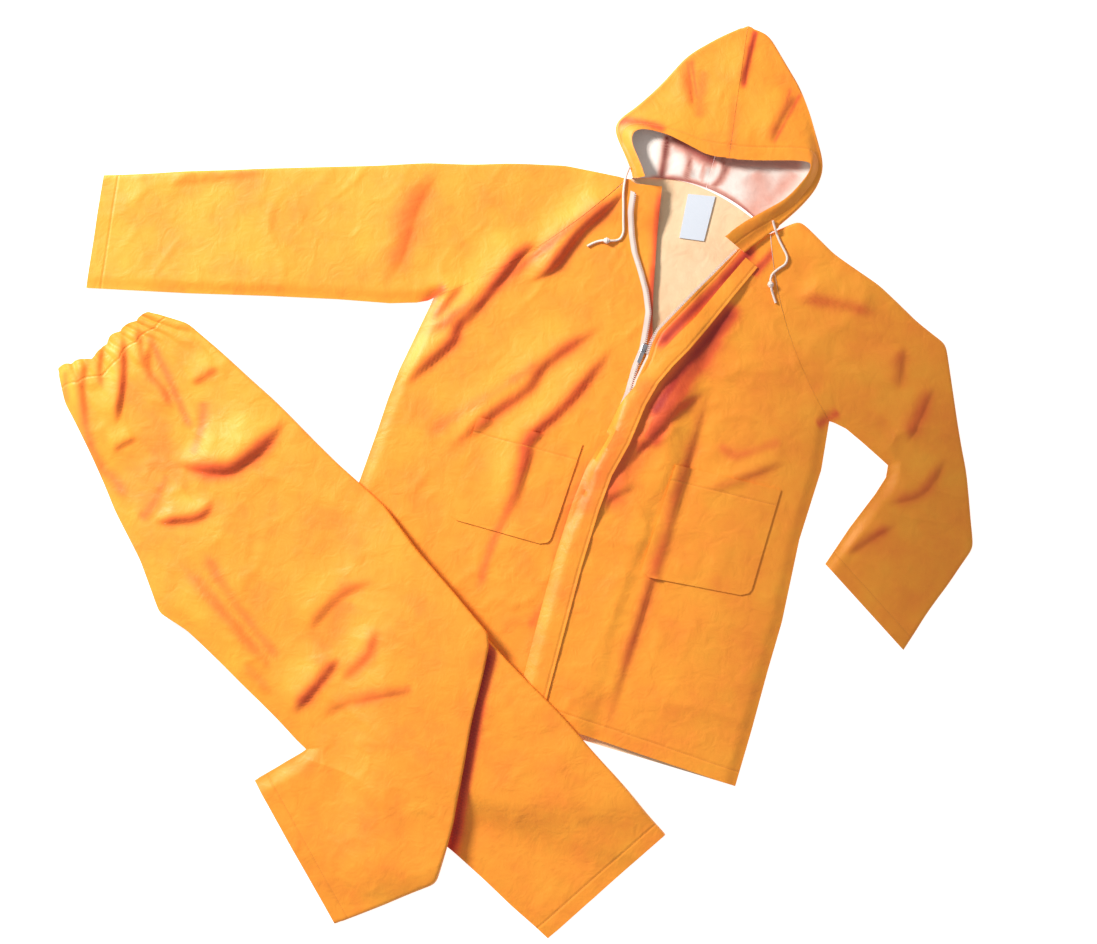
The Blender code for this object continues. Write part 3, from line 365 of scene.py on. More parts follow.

# Sections of a sleeve, cuff to neck: its folded edge, its underarm seam, and how far the section
# bows to the left of the way from underarm to fold.
RIGHT_SLEEVE = (
    # name, fold, under, bow
    ("cuff", (-618, 460), (-645, 291), 0),
    ("forearm", (-485, 466), (-494, 283), 0),
    ("elbow", (-367, 471), (-373, 279), 0),
    ("above elbow", (-250, 474), (-268, 274), 0),
    ("upper arm", (-130, 478), (-190, 268), 0),
    ("armhole", (-25, 477), (-150, 269), 0),
    ("shoulder", (73, 475), (-133, 272), -9),
    ("raglan seam", (167, 454), (-124, 276), -17),
)
LEFT_SLEEVE = (
    ("cuff", (580, -252), (463, -123), 0),
    ("wrist", (632, -173), (500, -68), 0),
    ("forearm", (685, -99), (538, -18), 0),
    ("below elbow", (673, 18), (554, 7), 0),
    ("elbow", (661, 93), (557, 25), 0),
    ("above elbow", (644, 207), (545, 36), 0),
    ("upper arm", (599, 241), (518, 60), 0),
    ("arm", (542, 295), (494, 80), 0),
    ("armhole", (475, 343), (478, 88), 0),
    ("shoulder", (425, 391), (473, 90), 8),
    ("raglan seam", (380, 372), (469, 91), 18),
)

# Edges of the body, neck or armhole to hem
RIGHT_SIDE = (
    (-124, 276), (-151, 220), (-176, 168), (-193, 124), (-208, 79), (-235, 3), (-283, -117),
    (-337, -255),
)
LEFT_SIDE = (
    (469, 91), (457, 18), (424, -87), (398, -210), (377, -282), (352, -374), (328, -456),
)
NECK_BOW = 30.0  # the back neck seam rises this far over the line between the two raglan seams
RIGHT_ZIP_OPEN = (
    (179, 446), (173, 403), (175, 369), (179, 343), (188, 315), (196, 285), (200, 253), (196, 228),
    (191, 199), (180, 172),
)
RIGHT_ZIP_SHUT = (
    (180, 172), (169, 132), (143, 67), (119, 18), (100, -35), (73, -117), (47, -207), (20, -312),
    (7, -345),
)
RIGHT_EDGE_OPEN = (
    (218, 442), (215, 412), (211, 369), (208, 325), (205, 283), (204, 240), (204, 200), (200, 168),
)
RIGHT_EDGE_SHUT = (
    (200, 168), (190, 132), (167, 67), (143, 18), (124, -35), (95, -117), (71, -207), (44, -312),
    (29, -351),
)
LEFT_EDGE_OPEN = ((331, 348), (299, 315), (266, 282), (238, 253), (212, 226), (203, 208), (196, 186))
LEFT_EDGE_SHUT = (
    (196, 186), (179, 151), (173, 130), (148, 66), (124, 16), (104, -36), (77, -119), (52, -209),
    (25, -314), (11, -348),
)

# %% Hood, flap and trouser measures
# Sections of a hood half, crown to neck: the rim of the face opening, the folded outline, and
# where the lower layer ends: 0 to 1 down the centre back seam, 1 to 2 along the neck seam. At 3
# there is only a narrow turning, which lies on the jacket's front.
RIGHT_HOOD = (
    # name, rim, fold, end of the lower layer
    ("crown", (317, 483), (347, 684), 0.0),
    ("top", (299, 484), (305, 666), 0.25),
    ("upper slope", (280, 489), (254, 637), 0.5),
    ("slope", (254, 504), (212, 592), 0.75),
    ("temple", (226, 520), (179, 561), 1.0),
    ("corner", (191, 529), (155, 544), 1.25),
    ("tip", (173, 526), (146, 531), 1.45),
    ("under tip", (170, 508), (154, 510), 1.62),
    ("cheek", (181, 483), (166, 483), 1.8),
    ("neck", (192, 455), (176, 453), 1.95),
)
LEFT_HOOD = (
    ("crown", (317, 483), (347, 684), 0.0),
    ("top", (359, 481), (379, 672), 0.2),
    ("upper slope", (388, 481), (403, 630), 0.45),
    ("slope", (410, 481), (425, 592), 0.7),
    ("temple", (430, 480), (442, 546), 0.95),
    ("corner", (441, 476), (458, 492), 1.2),
    ("tip", (438, 462), (461, 468), 1.35),
    ("under tip", (421, 441), (449, 438), 1.5),
    ("cheek", (401, 421), (424, 409), 1.65),
    ("jaw", (370, 405), (394, 384), 1.85),
    ("shoulder", (358, 398), (383, 374), 3.0),
    ("throat", (338, 387), (367, 361), 3.0),
    ("neck", (311, 366), (341, 343), 3.0),
)
CENTRE_BACK = ((340, 640), (284, 442))

# Sections of the storm flap, neck to hem
STORM_FLAP = (
    # name, free edge, sewn edge
    ("neck", (343, 336), (361, 321)),
    ("collarbone", (308, 295), (326, 279)),
    ("chest", (268, 247), (287, 231)),
    ("above slider", (236, 216), (258, 197)),
    ("slider", (212, 190), (235, 174)),
    ("below slider", (187, 160), (212, 147)),
    ("teeth", (166, 126), (193, 114)),
    ("upper zip", (138, 67), (169, 57)),
    ("waist", (111, 21), (143, 10)),
    ("hip", (90, -32), (124, -41)),
    ("seat", (63, -117), (98, -126)),
    ("thigh", (39, -207), (74, -216)),
    ("hem", (3, -345), (37, -356)),
)

# Sections of a trouser leg, waist to hem: the rise and inseam side, and the folded outseam
LEFT_LEG = (
    # name, inseam, fold
    ("waist", (-685, 171), (-550, 255)),
    ("casing", (-674, 118), (-490, 238)),
    ("hip", (-638, 43), (-407, 165)),
    ("seat", (-601, -41), (-332, 93)),
    ("rise", (-562, -117), (-265, 25)),
    ("crotch", (-533, -195), (-197, -36)),
    ("thigh", (-491, -224), (-148, -99)),
    ("lower thigh", (-439, -273), (-109, -143)),
    ("above knee", (-382, -330), (-41, -224)),
    ("knee", (-329, -385), (-40, -245)),
    ("below knee", (-314, -399), (-67, -366)),
    ("calf", (-322, -405), (-92, -507)),
    ("shin", (-340, -416), (-119, -600)),
    ("ankle", (-358, -427), (-197, -632)),
    ("hem", (-391, -446), (-272, -662)),
)
RIGHT_LEG = (
    ("waist", (-678, 169), (-554, 248)),
    ("casing", (-667, 118), (-495, 232)),
    ("hip", (-631, 43), (-413, 158)),
    ("seat", (-594, -41), (-338, 87)),
    ("rise", (-555, -117), (-270, 20)),
    ("crotch", (-523, -191), (-203, -42)),
    ("thigh", (-415, -279), (-115, -149)),
    ("knee", (-310, -372), (-22, -256)),
    ("calf", (-205, -462), (65, -347)),
    ("ankle", (-94, -555), (143, -432)),
    ("hem", (47, -684), (223, -527)),
)

# %% [markdown]
# ## Folds
# Each fold is a ridge beside a line. The line is the foot of its short slope, which turns from the
# light; beyond the ridge a longer slope runs down towards the light. The lines were placed over the
# photograph. Shade lines are painted shade: they deepen the colour along edges and pinched creases.

# %% Folds
JACKET_FOLDS = (
    # name, height, width of the shaded slope, line
    ("armpit pinch", 7, 8, ((-70, 300), (-133, 231))),
    ("right chest", 10, 11, ((47, 363), (13, 342), (-14, 309), (-46, 271), (-82, 223))),
    ("armpit to side", 8, 10, ((-13, 300), (-79, 237), (-92, 208), (-151, 156), (-179, 133))),
    ("raglan", 12, 11, ((170, 440), (142, 410), (104, 376), (82, 349), (56, 316), (13, 295))),
    ("zip to pocket", 8, 11, ((137, 237), (50, 174), (22, 136), (-35, 96), (-110, 39))),
    ("zip to waist", 9, 10, ((157, 214), (116, 159), (74, 108), (22, 61), (16, 30), (-16, -68))),
    ("right sleeve", 5, 20, ((-110, 474), (-142, 417), (-157, 375), (-169, 336), (-196, 291))),
    ("right forearm", 3, 14, ((-532, 442), (-401, 456), (-364, 465))),
    ("left waist", 9, 10, ((295, 133), (266, 121), (238, 99), (214, 70), (185, 45), (160, 13))),
    ("left long fold", 6, 10, (
        (301, 171), (266, 49), (244, -17), (224, -90), (179, -237), (131, -386),
    )),
    ("left hip", 4, 7, ((272, -17), (317, -5), (352, 7), (410, 30))),
    ("left pocket", 5, 8, ((182, -8), (143, -27), (137, -50))),
    ("left shoulder", 5, 9, ((412, 271), (470, 265), (547, 246))),
    ("left elbow", 6, 10, ((550, -36), (610, -18), (647, 39))),
    ("left forearm", 5, 8, ((572, -63), (490, -113))),
    ("left upper arm", 5, 12, ((583, 208), (575, 128))),
    ("left outer elbow", 6, 12, ((628, 145), (598, 78), (583, 55))),
)
OPEN_FRONT_FOLDS = (
    ("turned edge", 9, 18, (
        (347, 330), (313, 299), (280, 266), (252, 237), (226, 211), (212, 196),
    )),
    ("flap", 17, 13, (
        (379, 318), (331, 274), (295, 228), (260, 193), (238, 165), (215, 138), (194, 108),
        (170, 52), (145, 6), (125, -42),
    )),
)
HOOD_FOLDS = (
    ("crown", 6, 7, ((358, 672), (349, 630), (336, 585))),
    ("right side", 4, 9, ((252, 632), (262, 590), (264, 552))),
    ("left side", 5, 9, ((425, 585), (400, 545), (378, 500))),
)
HOOD_INSIDE_FOLDS = (
    ("turned side", 6, 8, ((232, 540), (228, 500), (219, 440))),
    ("gather", 4, 8, ((258, 500), (263, 478), (268, 455))),
    ("gather by label", 4, 8, ((290, 500), (293, 478), (292, 455))),
    ("gather beyond label", 4, 8, ((325, 495), (318, 476), (308, 452))),
)
TROUSER_FOLDS = (
    ("left casing gather", 5, 6, ((-668, 176), (-671, 140), (-668, 112))),
    ("second gather", 6, 7, ((-634, 194), (-644, 142), (-638, 81))),
    ("third gather", 5, 6, ((-611, 210), (-618, 170), (-614, 130))),
    ("fourth gather", 8, 7, ((-584, 232), (-582, 160), (-590, 108), (-596, 74))),
    ("fifth gather", 5, 6, ((-566, 238), (-556, 196), (-550, 160))),
    ("sixth gather", 5, 8, ((-540, 220), (-547, 169), (-523, 139), (-508, 96))),
    ("seventh gather", 4, 7, ((-485, 140), (-439, 171))),
    ("upper hip", 4, 7, ((-604, 43), (-562, 66))),
    ("hip", 4, 9, ((-631, 43), (-574, -26))),
    ("seat fold", 12, 13, ((-335, 100), (-370, 54), (-401, 28), (-431, 12), (-478, 16), (-520, 30))),
    ("under seat", 8, 9, ((-448, -20), (-466, -53), (-515, -62), (-545, -58))),
    ("inner thigh", 5, 10, ((-509, -114), (-473, -146), (-439, -185), (-395, -237), (-353, -287))),
    ("inner knee", 4, 9, ((-410, -260), (-361, -315))),
    ("knee pucker", 5, 10, ((-208, -149), (-251, -167), (-283, -195), (-311, -231))),
    ("back of knee", 9, 10, ((-254, -252), (-290, -302), (-335, -351))),
    ("second knee", 6, 10, ((-205, -210), (-215, -255), (-241, -284), (-265, -305))),
    ("below knee", 4, 12, ((-152, -312), (-250, -332), (-298, -360))),
)

# Shade lines of painted shade: how deep, how wide to each side in mm, and the line
# painted shade along the right front's open edge and beside the shut zip
RIGHT_EDGE_SHADES = (
    (0.75, 7, ((217, 446), (213, 400), (209, 340), (205, 283), (204, 230), (202, 190))),
    (0.35, 22, ((150, 60), (118, 0), (92, -60), (66, -140))),
)
# painted shade in the pinched creases of the chest and the armpits
RIGHT_CREASE_SHADES = (
    (0.38, 9, ((164, 430), (98, 392), (10, 326), (-100, 243), (-150, 216))),
    (0.25, 10, ((80, 204), (-45, 128), (-140, 68))),
    (0.36, 8, ((98, 128), (21, 62), (-1, -15), (-40, -103), (-60, -180))),
    (0.3, 9, ((98, -102), (54, -169), (15, -222))),
    (0.5, 9, ((-146, 264), (-127, 276), (-104, 294))),
)
# painted shade along the turned left edge and in the dark gaps beside the storm flap
LEFT_EDGE_SHADES = (
    (0.95, 9, ((362, 360), (330, 322), (290, 281), (262, 254), (232, 224), (204, 196))),
    (1.0, 15, ((334, 272), (304, 234), (276, 200), (250, 168), (222, 130), (196, 86))),
    (0.75, 17, ((306, 232), (280, 192), (250, 150), (220, 100), (192, 46))),
    (0.45, 26, ((240, 170), (196, 100), (160, 36), (128, -46))),
    (0.7, 6, ((392, 352), (372, 330), (352, 308))),
)
# painted shade in creases of the left front and by its armpit
LEFT_CREASE_SHADES = (
    (0.5, 8, ((484, 106), (466, 94), (448, 84))),
    (0.25, 8, ((300, 60), (330, 40), (400, 62))),
)
CREASE_SHADES = RIGHT_CREASE_SHADES + LEFT_CREASE_SHADES
# painted shade in the hood's creases and along its rim
HOOD_SHADES = (
    (0.85, 4, ((360, 682), (352, 650), (344, 618), (339, 586))),
    (0.35, 3, ((257, 634), (260, 600), (263, 562))),
    (0.3, 3, ((263, 636), (266, 606), (270, 570))),
    (0.4, 3, ((428, 586), (406, 546), (382, 502))),
    (0.3, 3, ((412, 592), (404, 568), (394, 540))),
    (0.22, 10, ((282, 620), (276, 580), (271, 540))),
    (0.2, 8, ((326, 586), (324, 540), (320, 490))),
    (0.5, 7, ((140, 540), (170, 540), (200, 534), (226, 524))),
)
# painted shade on the storm flap below the slider
FLAP_SHADES = (
    (0.22, 16, ((212, 160), (180, 118), (150, 60), (118, 0), (96, -60))),
)
# painted shade on the hood's lining under the rim and in the gathers, and a dark line along the neck
# seam
LINING_SHADES = (
    (1.0, 5, ((227, 526), (224, 500), (219, 470), (214, 440), (212, 430))),
    (0.95, 12, ((228, 524), (252, 506), (282, 486), (306, 480))),
    (0.6, 10, ((290, 488), (330, 480), (380, 478), (436, 474))),
    (0.75, 5, ((262, 492), (258, 472), (252, 450))),
    (0.6, 4, ((284, 488), (280, 466), (276, 450))),
    (0.85, 5, ((306, 488), (312, 468), (302, 450), (290, 440))),
    (0.6, 5, ((322, 480), (312, 458), (300, 444))),
    (0.4, 24, ((352, 470), (372, 440), (366, 410), (340, 400))),
    (0.45, 16, ((420, 468), (396, 440), (370, 415))),
    (0.85, 5, ((186, 450), (228, 455), (284, 443), (335, 414), (374, 378))),
)
# painted shadow that the left leg's folded edge throws on the right leg
SLIT_SHADES = (
    (1.1, 9, ((-42, -218), (-38, -245), (-50, -300), (-63, -366), (-76, -436), (-88, -507),
              (-102, -560), (-116, -606), (-132, -634))),
)
# painted shade over the hip and in the creases of the left leg
HIP_SHADES = (
    (0.2, 34, ((-600, 160), (-560, 110), (-530, 50), (-520, -10), (-540, -60))),
    (0.2, 26, ((-250, -170), (-270, -220), (-300, -280))),
    (0.32, 7, ((-552, 223), (-520, 158), (-482, 71))),
    (0.3, 8, ((-465, 125), (-470, 80), (-484, 36))),
    (0.3, 8, ((-650, 180), (-640, 71), (-606, -5))),
    (0.3, 9, ((-519, 17), (-540, -30), (-563, -59))),
    (0.26, 8, ((-250, -332), (-200, -318), (-150, -306))),
    (0.26, 9, ((-470, -100), (-420, -180), (-350, -270))),
)

# %% Small places
# Corners of the patch pockets, from the top corner by the centre, and of the label
LEFT_POCKET = ((238, 26), (396, -12), (349, -172), (184, -140))
RIGHT_POCKET = ((99, 56), (-58, 98), (-104, -53), (48, -96))
LABEL = ((257, 432), (298, 428), (281, 361), (244, 366))

# Drawcord routes from the hood's hem to the knot, and the tail beyond it
RIGHT_CORD = (
    (169, 470), (163, 454), (160, 433), (160, 412), (160, 390), (160, 374), (155, 364), (146, 361),
    (136, 361), (126, 361), (116, 358), (106, 353),
)
LEFT_CORD = (
    (383, 390), (387, 377), (393, 362), (400, 348), (405, 336), (402, 326), (392, 319), (383, 311),
    (380, 302), (381, 291), (384, 280), (388, 268),
)
RIGHT_KNOT = 0.78  # the share of the route where the knot begins
LEFT_KNOT = 0.76

# %% [markdown]
# ## Laying cloth on cloth
# A height lattice remembers how high everything laid so far stands. A new layer gets its height
# from the lattice, widened and softened, so it clears what lies below and drapes over its edges in
# a gentle slope. Nothing is simulated: the pieces are large, flat and still, and their few folds
# are known, so placing them one by one is truer to the photograph.

# %% Smooth steps, directions and the lattice
def smooth(share):
    """0 to 1 with level ends."""
    share = np.clip(share, 0.0, 1.0)
    return share * share * (3.0 - 2.0 * share)


def bell(value, middle, width):
    """1 at the middle, falling away to both sides."""
    return np.exp(-(((value - middle) / width) ** 2))


def unit(vectors):
    return vectors / np.maximum(np.linalg.norm(vectors, axis=-1, keepdims=True), 1e-9)


class Pile:
    """The height of everything laid so far, on a square lattice."""

    def __init__(self, top=None):
        cells = int(2 * HALF_SPAN / CELL) + 1
        self.top = np.full((cells, cells), -APART) if top is None else top.copy()

    def copy(self):
        return Pile(self.top)

    def add(self, grid):
        """Raise the lattice to a grid of surface points, rows by columns by xyz."""
        edges = np.linalg.norm(np.diff(grid, axis=0), axis=-1).max()
        edges = max(edges, np.linalg.norm(np.diff(grid, axis=1), axis=-1).max())
        steps = int(math.ceil(edges / (0.6 * CELL)))
        for down in np.linspace(0.0, 1.0, steps + 1):
            row = grid[:-1] * (1 - down) + grid[1:] * down
            for along in np.linspace(0.0, 1.0, steps + 1):
                point = row[:, :-1] * (1 - along) + row[:, 1:] * along
                cell = np.rint((point[..., :2] + HALF_SPAN) / CELL).astype(int)
                np.maximum.at(self.top, (cell[..., 0], cell[..., 1]), point[..., 2])

    def over(self, reach):
        """A soft height, as a function of place, clear of all that lies within reach."""
        cells = int(math.ceil(reach / CELL)) + 2 * SOFTEN
        wide = self.top.copy()
        for axis in (0, 1):
            source = wide.copy()
            for step in range(-cells, cells + 1):
                wide = np.maximum(wide, np.roll(source, step, axis))
        for axis in (0, 1, 0, 1):
            shifts = range(-SOFTEN, SOFTEN + 1)
            wide = sum(np.roll(wide, step, axis) for step in shifts) / (2 * SOFTEN + 1)

        def height(x, y):
            column = (x + HALF_SPAN) / CELL
            row = (y + HALF_SPAN) / CELL
            i = np.floor(column).astype(int)
            j = np.floor(row).astype(int)
            s = column - i
            t = row - j
            near = wide[i, j] * (1 - s) + wide[i + 1, j] * s
            far = wide[i, j + 1] * (1 - s) + wide[i + 1, j + 1] * s
            return near * (1 - t) + far * t

        return height

# %% Fold heights
def to_line(x, y, line):
    """Distance from a line of points, positive on its lit side, and the share of its length."""
    points = np.array(line, float)
    runs = np.diff(points, axis=0)
    lengths = np.linalg.norm(runs, axis=1)
    starts = np.concatenate([[0.0], np.cumsum(lengths)])
    chord = points[-1] - points[0]
    facing = 1.0 if -chord[1] * LIGHT_SIDE[0] + chord[0] * LIGHT_SIDE[1] > 0 else -1.0
    best = np.full(np.shape(x), np.inf)
    signed = np.zeros(np.shape(x))
    share = np.zeros(np.shape(x))
    for start, run, length, travelled in zip(points, runs, lengths, starts):
        dx = x - start[0]
        dy = y - start[1]
        along = np.clip((dx * run[0] + dy * run[1]) / length**2, 0.0, 1.0)
        gap = np.hypot(dx - along * run[0], dy - along * run[1])
        side = np.where(run[0] * dy - run[1] * dx > 0, 1.0, -1.0) * facing
        closer = gap < best
        best = np.where(closer, gap, best)
        signed = np.where(closer, gap * side, signed)
        share = np.where(closer, (travelled + along * length) / starts[-1], share)
    return signed, share


def near_line(x, y, line, fade):
    """Distance from a line, smoothed, and a strength that fades towards both its ends."""
    across, share = to_line(x, y, smooth_route(line))
    return across, smooth(share / fade) * smooth((1.0 - share) / fade)


def beside(x, y, fold):
    """How far across a fold each point is, as a share of the fold's short slope, and how strong
    the fold is there. Towards its ends a fold is half as wide."""
    _, height, shaded, line = fold
    across, ends = near_line(x, y, line, FOLD_FADE)
    return across / (SOFT * shaded * (0.5 + 0.5 * ends)), ends, height


def drape(x, y, folds):
    """Height of the folds. Each rises from its foot, then falls away in a long soft slope towards
    the light. Folds that cross run into each other, and all are a little uneven."""
    uneven = 0.75 + 0.5 * random_heights(x, y, UNEVEN, 3)
    total = np.zeros(np.shape(x))
    for fold in folds:
        share, ends, height = beside(x, y, fold)
        share = np.maximum(share, 0.0)
        total += (FOLD_RISE * height * uneven * ends * share * np.exp(1.0 - share)) ** 3
    return total ** (1 / 3)


def painted_shade_and_highlight(x, y, folds, shades=()):
    """Painted light and shade, as the cloth's depth of colour: low where a painted highlight lies on
    slopes that face the light, up to 1 where painted shade lies in the folds, and deeper beside the
    shade lines."""
    dark = np.zeros(np.shape(x))
    light = np.zeros(np.shape(x))
    for fold in folds:
        share, ends, height = beside(x, y, fold)
        strength = FOLD_SHADE * min(1.0, height / FULL_FOLD) * ends
        dark = np.maximum(dark, strength * bell(share, *FOOT))
        light = np.maximum(light, strength * bell(share, *LIT))
    for strength, width, line in shades:
        across, ends = near_line(x, y, line, SHADE_FADE)
        dark = np.maximum(dark, strength * ends * bell(across, 0.0, width))
    return OPEN + (1.0 - OPEN) * dark - PALE * OPEN * light * (1.0 - dark)

# %% [markdown]
# ## Small creases
# Coated cloth that was folded in a pack keeps sharp little creases between its large folds. They
# are ridges of a noise: where a smooth random height passes its middle value, the cloth pinches up.
# The lattice of random heights is seeded, so each run gives the same cloth.

# %% Small creases
def random_heights(x, y, size, seed):
    """A smooth random height from 0 to 1, with lumps of that size."""
    rng = np.random.default_rng(seed)
    table = rng.random((64, 64))
    u = x / size + 1000.0
    v = y / size + 1000.0
    i = np.floor(u).astype(int)
    j = np.floor(v).astype(int)
    s = smooth(u - i)
    t = smooth(v - j)
    near = table[i % 64, j % 64] * (1 - s) + table[(i + 1) % 64, j % 64] * s
    far = table[i % 64, (j + 1) % 64] * (1 - s) + table[(i + 1) % 64, (j + 1) % 64] * s
    return near * (1 - t) + far * t


CREASE_SIZES = ((88.0, 1.3), (47.0, 0.8), (26.0, 0.5))  # size in mm and weight
LONGER = 1.7  # how much longer than wide a crease is
PINCH = 0.34  # the share of the height's range in which the cloth pinches up
PRESSED = 45.0  # cloth lies pressed flat from this far under an edge of the trousers
FREE = 50.0  # and stands free again this far out from there
BROAD = 130.0  # size of the low waves, and of a second set half as high
NARROW = 62.0
WANDER = 3.0  # an eased outline wanders by this much, over this length
WANDER_SIZE = 70.0


def small_creases(x, y, seed, turn=0.0):
    """Sharp ridges up to about 1 high, longer one way, which is turned by that many degrees."""
    angle = math.radians(turn)
    along = x * math.cos(angle) + y * math.sin(angle)
    across = -x * math.sin(angle) + y * math.cos(angle)
    total = np.zeros(np.shape(x))
    for size, weight in CREASE_SIZES:
        wander = 0.35 * size * random_heights(x, y, LONGER * size, seed + 7)
        height = random_heights(along / LONGER + wander, across + wander, size, seed + int(size))
        ridge = np.clip(1 - np.abs(2 * height - 1) / PINCH, 0.0, 1.0)
        where = smooth((random_heights(x, y, 2.2 * size, seed + 3) - 0.35) / 0.3)
        total += weight * ridge**1.6 * where
    return total


def waves(x, y, seed):
    """Broad, low undulations of cloth that doesn't lie quite flat."""
    low = random_heights(x, y, BROAD, seed) + 0.5 * random_heights(x, y, NARROW, seed + 1)
    return WAVE * low


def beyond(x, y, line):
    """1 on the right of a line, with y up, and 0 where cloth lies pressed flat on its left."""
    (x0, y0), (x1, y1) = line
    across = ((x - x0) * (y1 - y0) - (y - y0) * (x1 - x0)) / math.hypot(x1 - x0, y1 - y0)
    return smooth((across + PRESSED) / FREE)


def eased(points, passes):
    """An outline with its corners rounded, a little uneven, and its ends kept."""
    points = points.copy()
    for _ in range(passes):
        points[1:-1] = (points[:-2] + 2 * points[1:-1] + points[2:]) / 4
    way = unit(np.gradient(points, axis=0))
    aside = np.stack([-way[:, 1], way[:, 0]], axis=1)
    wander = random_heights(points[:, 0], points[:, 1], WANDER_SIZE, 5) - 0.5
    wander[:3] = wander[-3:] = 0.0
    return points + aside * WANDER * wander[:, None]

# %% Lines through measured points
ROUTE_STEPS = 4  # points added between each two of a given line


def travelled(points):
    """How far along a line of points each of them is."""
    return np.concatenate([[0.0], np.cumsum(np.linalg.norm(np.diff(points, axis=0), axis=1))])


def picked(places, marks, points):
    """The points at some places, on a line whose points stand at the marks."""
    return np.stack([np.interp(places, marks, column) for column in points.T], axis=1)


def resampled(line, count):
    """Points at even steps of length along a line."""
    points = np.array(line, float)
    marks = travelled(points)
    return picked(np.linspace(0.0, marks[-1], count), marks, points)


def smooth_route(line):
    """A smooth curve through given points."""
    points = np.array(line, float)
    ends = np.vstack([2 * points[0] - points[1], points, 2 * points[-1] - points[-2]])
    route = []
    for k in range(1, len(ends) - 2):
        before, here, there, after = ends[k - 1 : k + 3]
        for t in np.arange(ROUTE_STEPS) / ROUTE_STEPS:
            route.append(0.5 * (
                2 * here + (there - before) * t
                + (2 * before - 5 * here + 4 * there - after) * t**2
                + (3 * here - before - 3 * there + after) * t**3
            ))
    route.append(points[-1])
    return np.array(route)


def sections(table, spacing):
    """The table's columns, after its names, at closely spaced sections between its rows."""
    columns = [
        np.array([np.atleast_1d(row[k]) for row in table], float) for k in range(1, len(table[0]))
    ]
    places = [0.0]
    for here in range(len(table) - 1):
        travel = max(
            np.linalg.norm(column[here + 1] - column[here])
            for column in columns if column.shape[1] == 2
        )
        steps = max(1, int(math.ceil(travel / spacing)))
        places.extend(here + (k + 1) / steps for k in range(steps))
    rows = np.arange(len(table))
    return [picked(places, rows, column) for column in columns]


def bowed(start, end, shares, bow):
    """Rows of points from start to end, each row bowed to its left by bow at the middle."""
    run = end - start
    aside = unit(np.stack([-run[:, 1], run[:, 0]], axis=1))
    share = np.asarray(shares)[None, :, None]
    line = start[:, None] * (1 - share) + end[:, None] * share
    return line + aside[:, None] * bow[:, None, None] * 4 * share * (1 - share)


def upright(grid):
    """The upward direction at every point of a grid."""
    return np.broadcast_to(np.array([0.0, 0.0, 1.0]), grid.shape)


def laid(flat, height, lift):
    """Middle points of one layer: seen from above as flat, resting on height, and lifted."""
    x, y = flat[..., 0], flat[..., 1]
    return np.dstack([x, y, height(x, y) + APART + CLOTH / 2 + lift])


def raised(grid, by):
    return grid + np.array([0.0, 0.0, by])


def between(curves, counts, pull=1.0):
    """A flat grid from one edge curve to the next, with counts of columns between them. A pull
    over 1 draws the first stretch's columns towards its start."""
    first = unit(curves[1] - curves[0])
    last = unit(curves[-1] - curves[-2])
    curves = list(curves)
    curves[0] = curves[0] + first * SEAM_SHARE
    curves[-1] = curves[-1] - last * SEAM_SHARE
    stretches = []
    for k, count in enumerate(counts):
        shares = np.arange(count) / count
        if k == 0:
            shares = shares**pull
        share = shares[None, :, None]
        stretches.append(curves[k][:, None] * (1 - share) + curves[k + 1][:, None] * share)
    stretches.append(curves[-1][:, None])
    return np.concatenate(stretches, axis=1)


def joined(upper, lower, counts):
    """One curve through two lines that meet, with a count of steps for each."""
    return np.concatenate([resampled(upper, counts[0] + 1), resampled(lower, counts[1] + 1)[1:]])


def raglan(table, steps):
    """The sleeve's last section, from the neck to the armpit."""
    _, fold, under, bow = table[-1]
    shares = np.linspace(1.0, 0.0, steps + 1)
    return bowed(np.array([under], float), np.array([fold], float), shares, np.array([float(bow)]))[0]


def patch(corners, across, down, rounded):
    """A flat grid over a four-cornered patch, first corner at the top, with its two lower corners
    rounded by drawing in the ends of the last rows."""
    first, second, third, fourth = (np.array(corner, float) for corner in corners)
    v = np.linspace(0.0, 1.0, down + 1)[:, None]
    start = first * (1 - v) + fourth * v
    end = second * (1 - v) + third * v
    if rounded:
        depth = np.linalg.norm(fourth - first) * (1 - v)
        left = np.clip(POCKET_CORNER - depth, 0.0, POCKET_CORNER)
        inward = POCKET_CORNER - np.sqrt(np.maximum(POCKET_CORNER**2 - left**2, 0.0))
        way = unit(end - start)
        start = start + way * inward
        end = end - way * inward
    u = np.linspace(0.0, 1.0, across + 1)[None, :, None]
    return start[:, None] * (1 - u) + end[:, None] * u


def closing(line):
    """A share that falls to 0 at a closed seam, where the two layers are sewn together."""

    def share(x, y):
        return smooth(np.abs(to_line(x, y, line)[0]) / SEAM_SLOPE)

    return share


def surface(grid):
    """The upper surface of a layer, from its middle points."""
    return raised(grid, CLOTH / 2)


def below(pieces):
    """A search tree over the faces of the pieces built so far, in metres."""
    corners = []
    faces = []
    for piece in pieces:
        start = len(corners)
        corners.extend(vertex.co.copy() for vertex in piece.data.vertices)
        faces.extend([start + k for k in face.vertices] for face in piece.data.polygons)
    return BVHTree.FromPolygons(corners, faces)


def sunk(point, radius, tree):
    """The height at which a ball dropped over a point comes to rest on the pieces."""
    z = DROP
    for _ in range(60):
        gap = tree.find_nearest((point[0] * MM, point[1] * MM, z * MM))[3] / MM - radius
        if gap < 0.01:
            break
        z -= gap
    return max(z, radius)


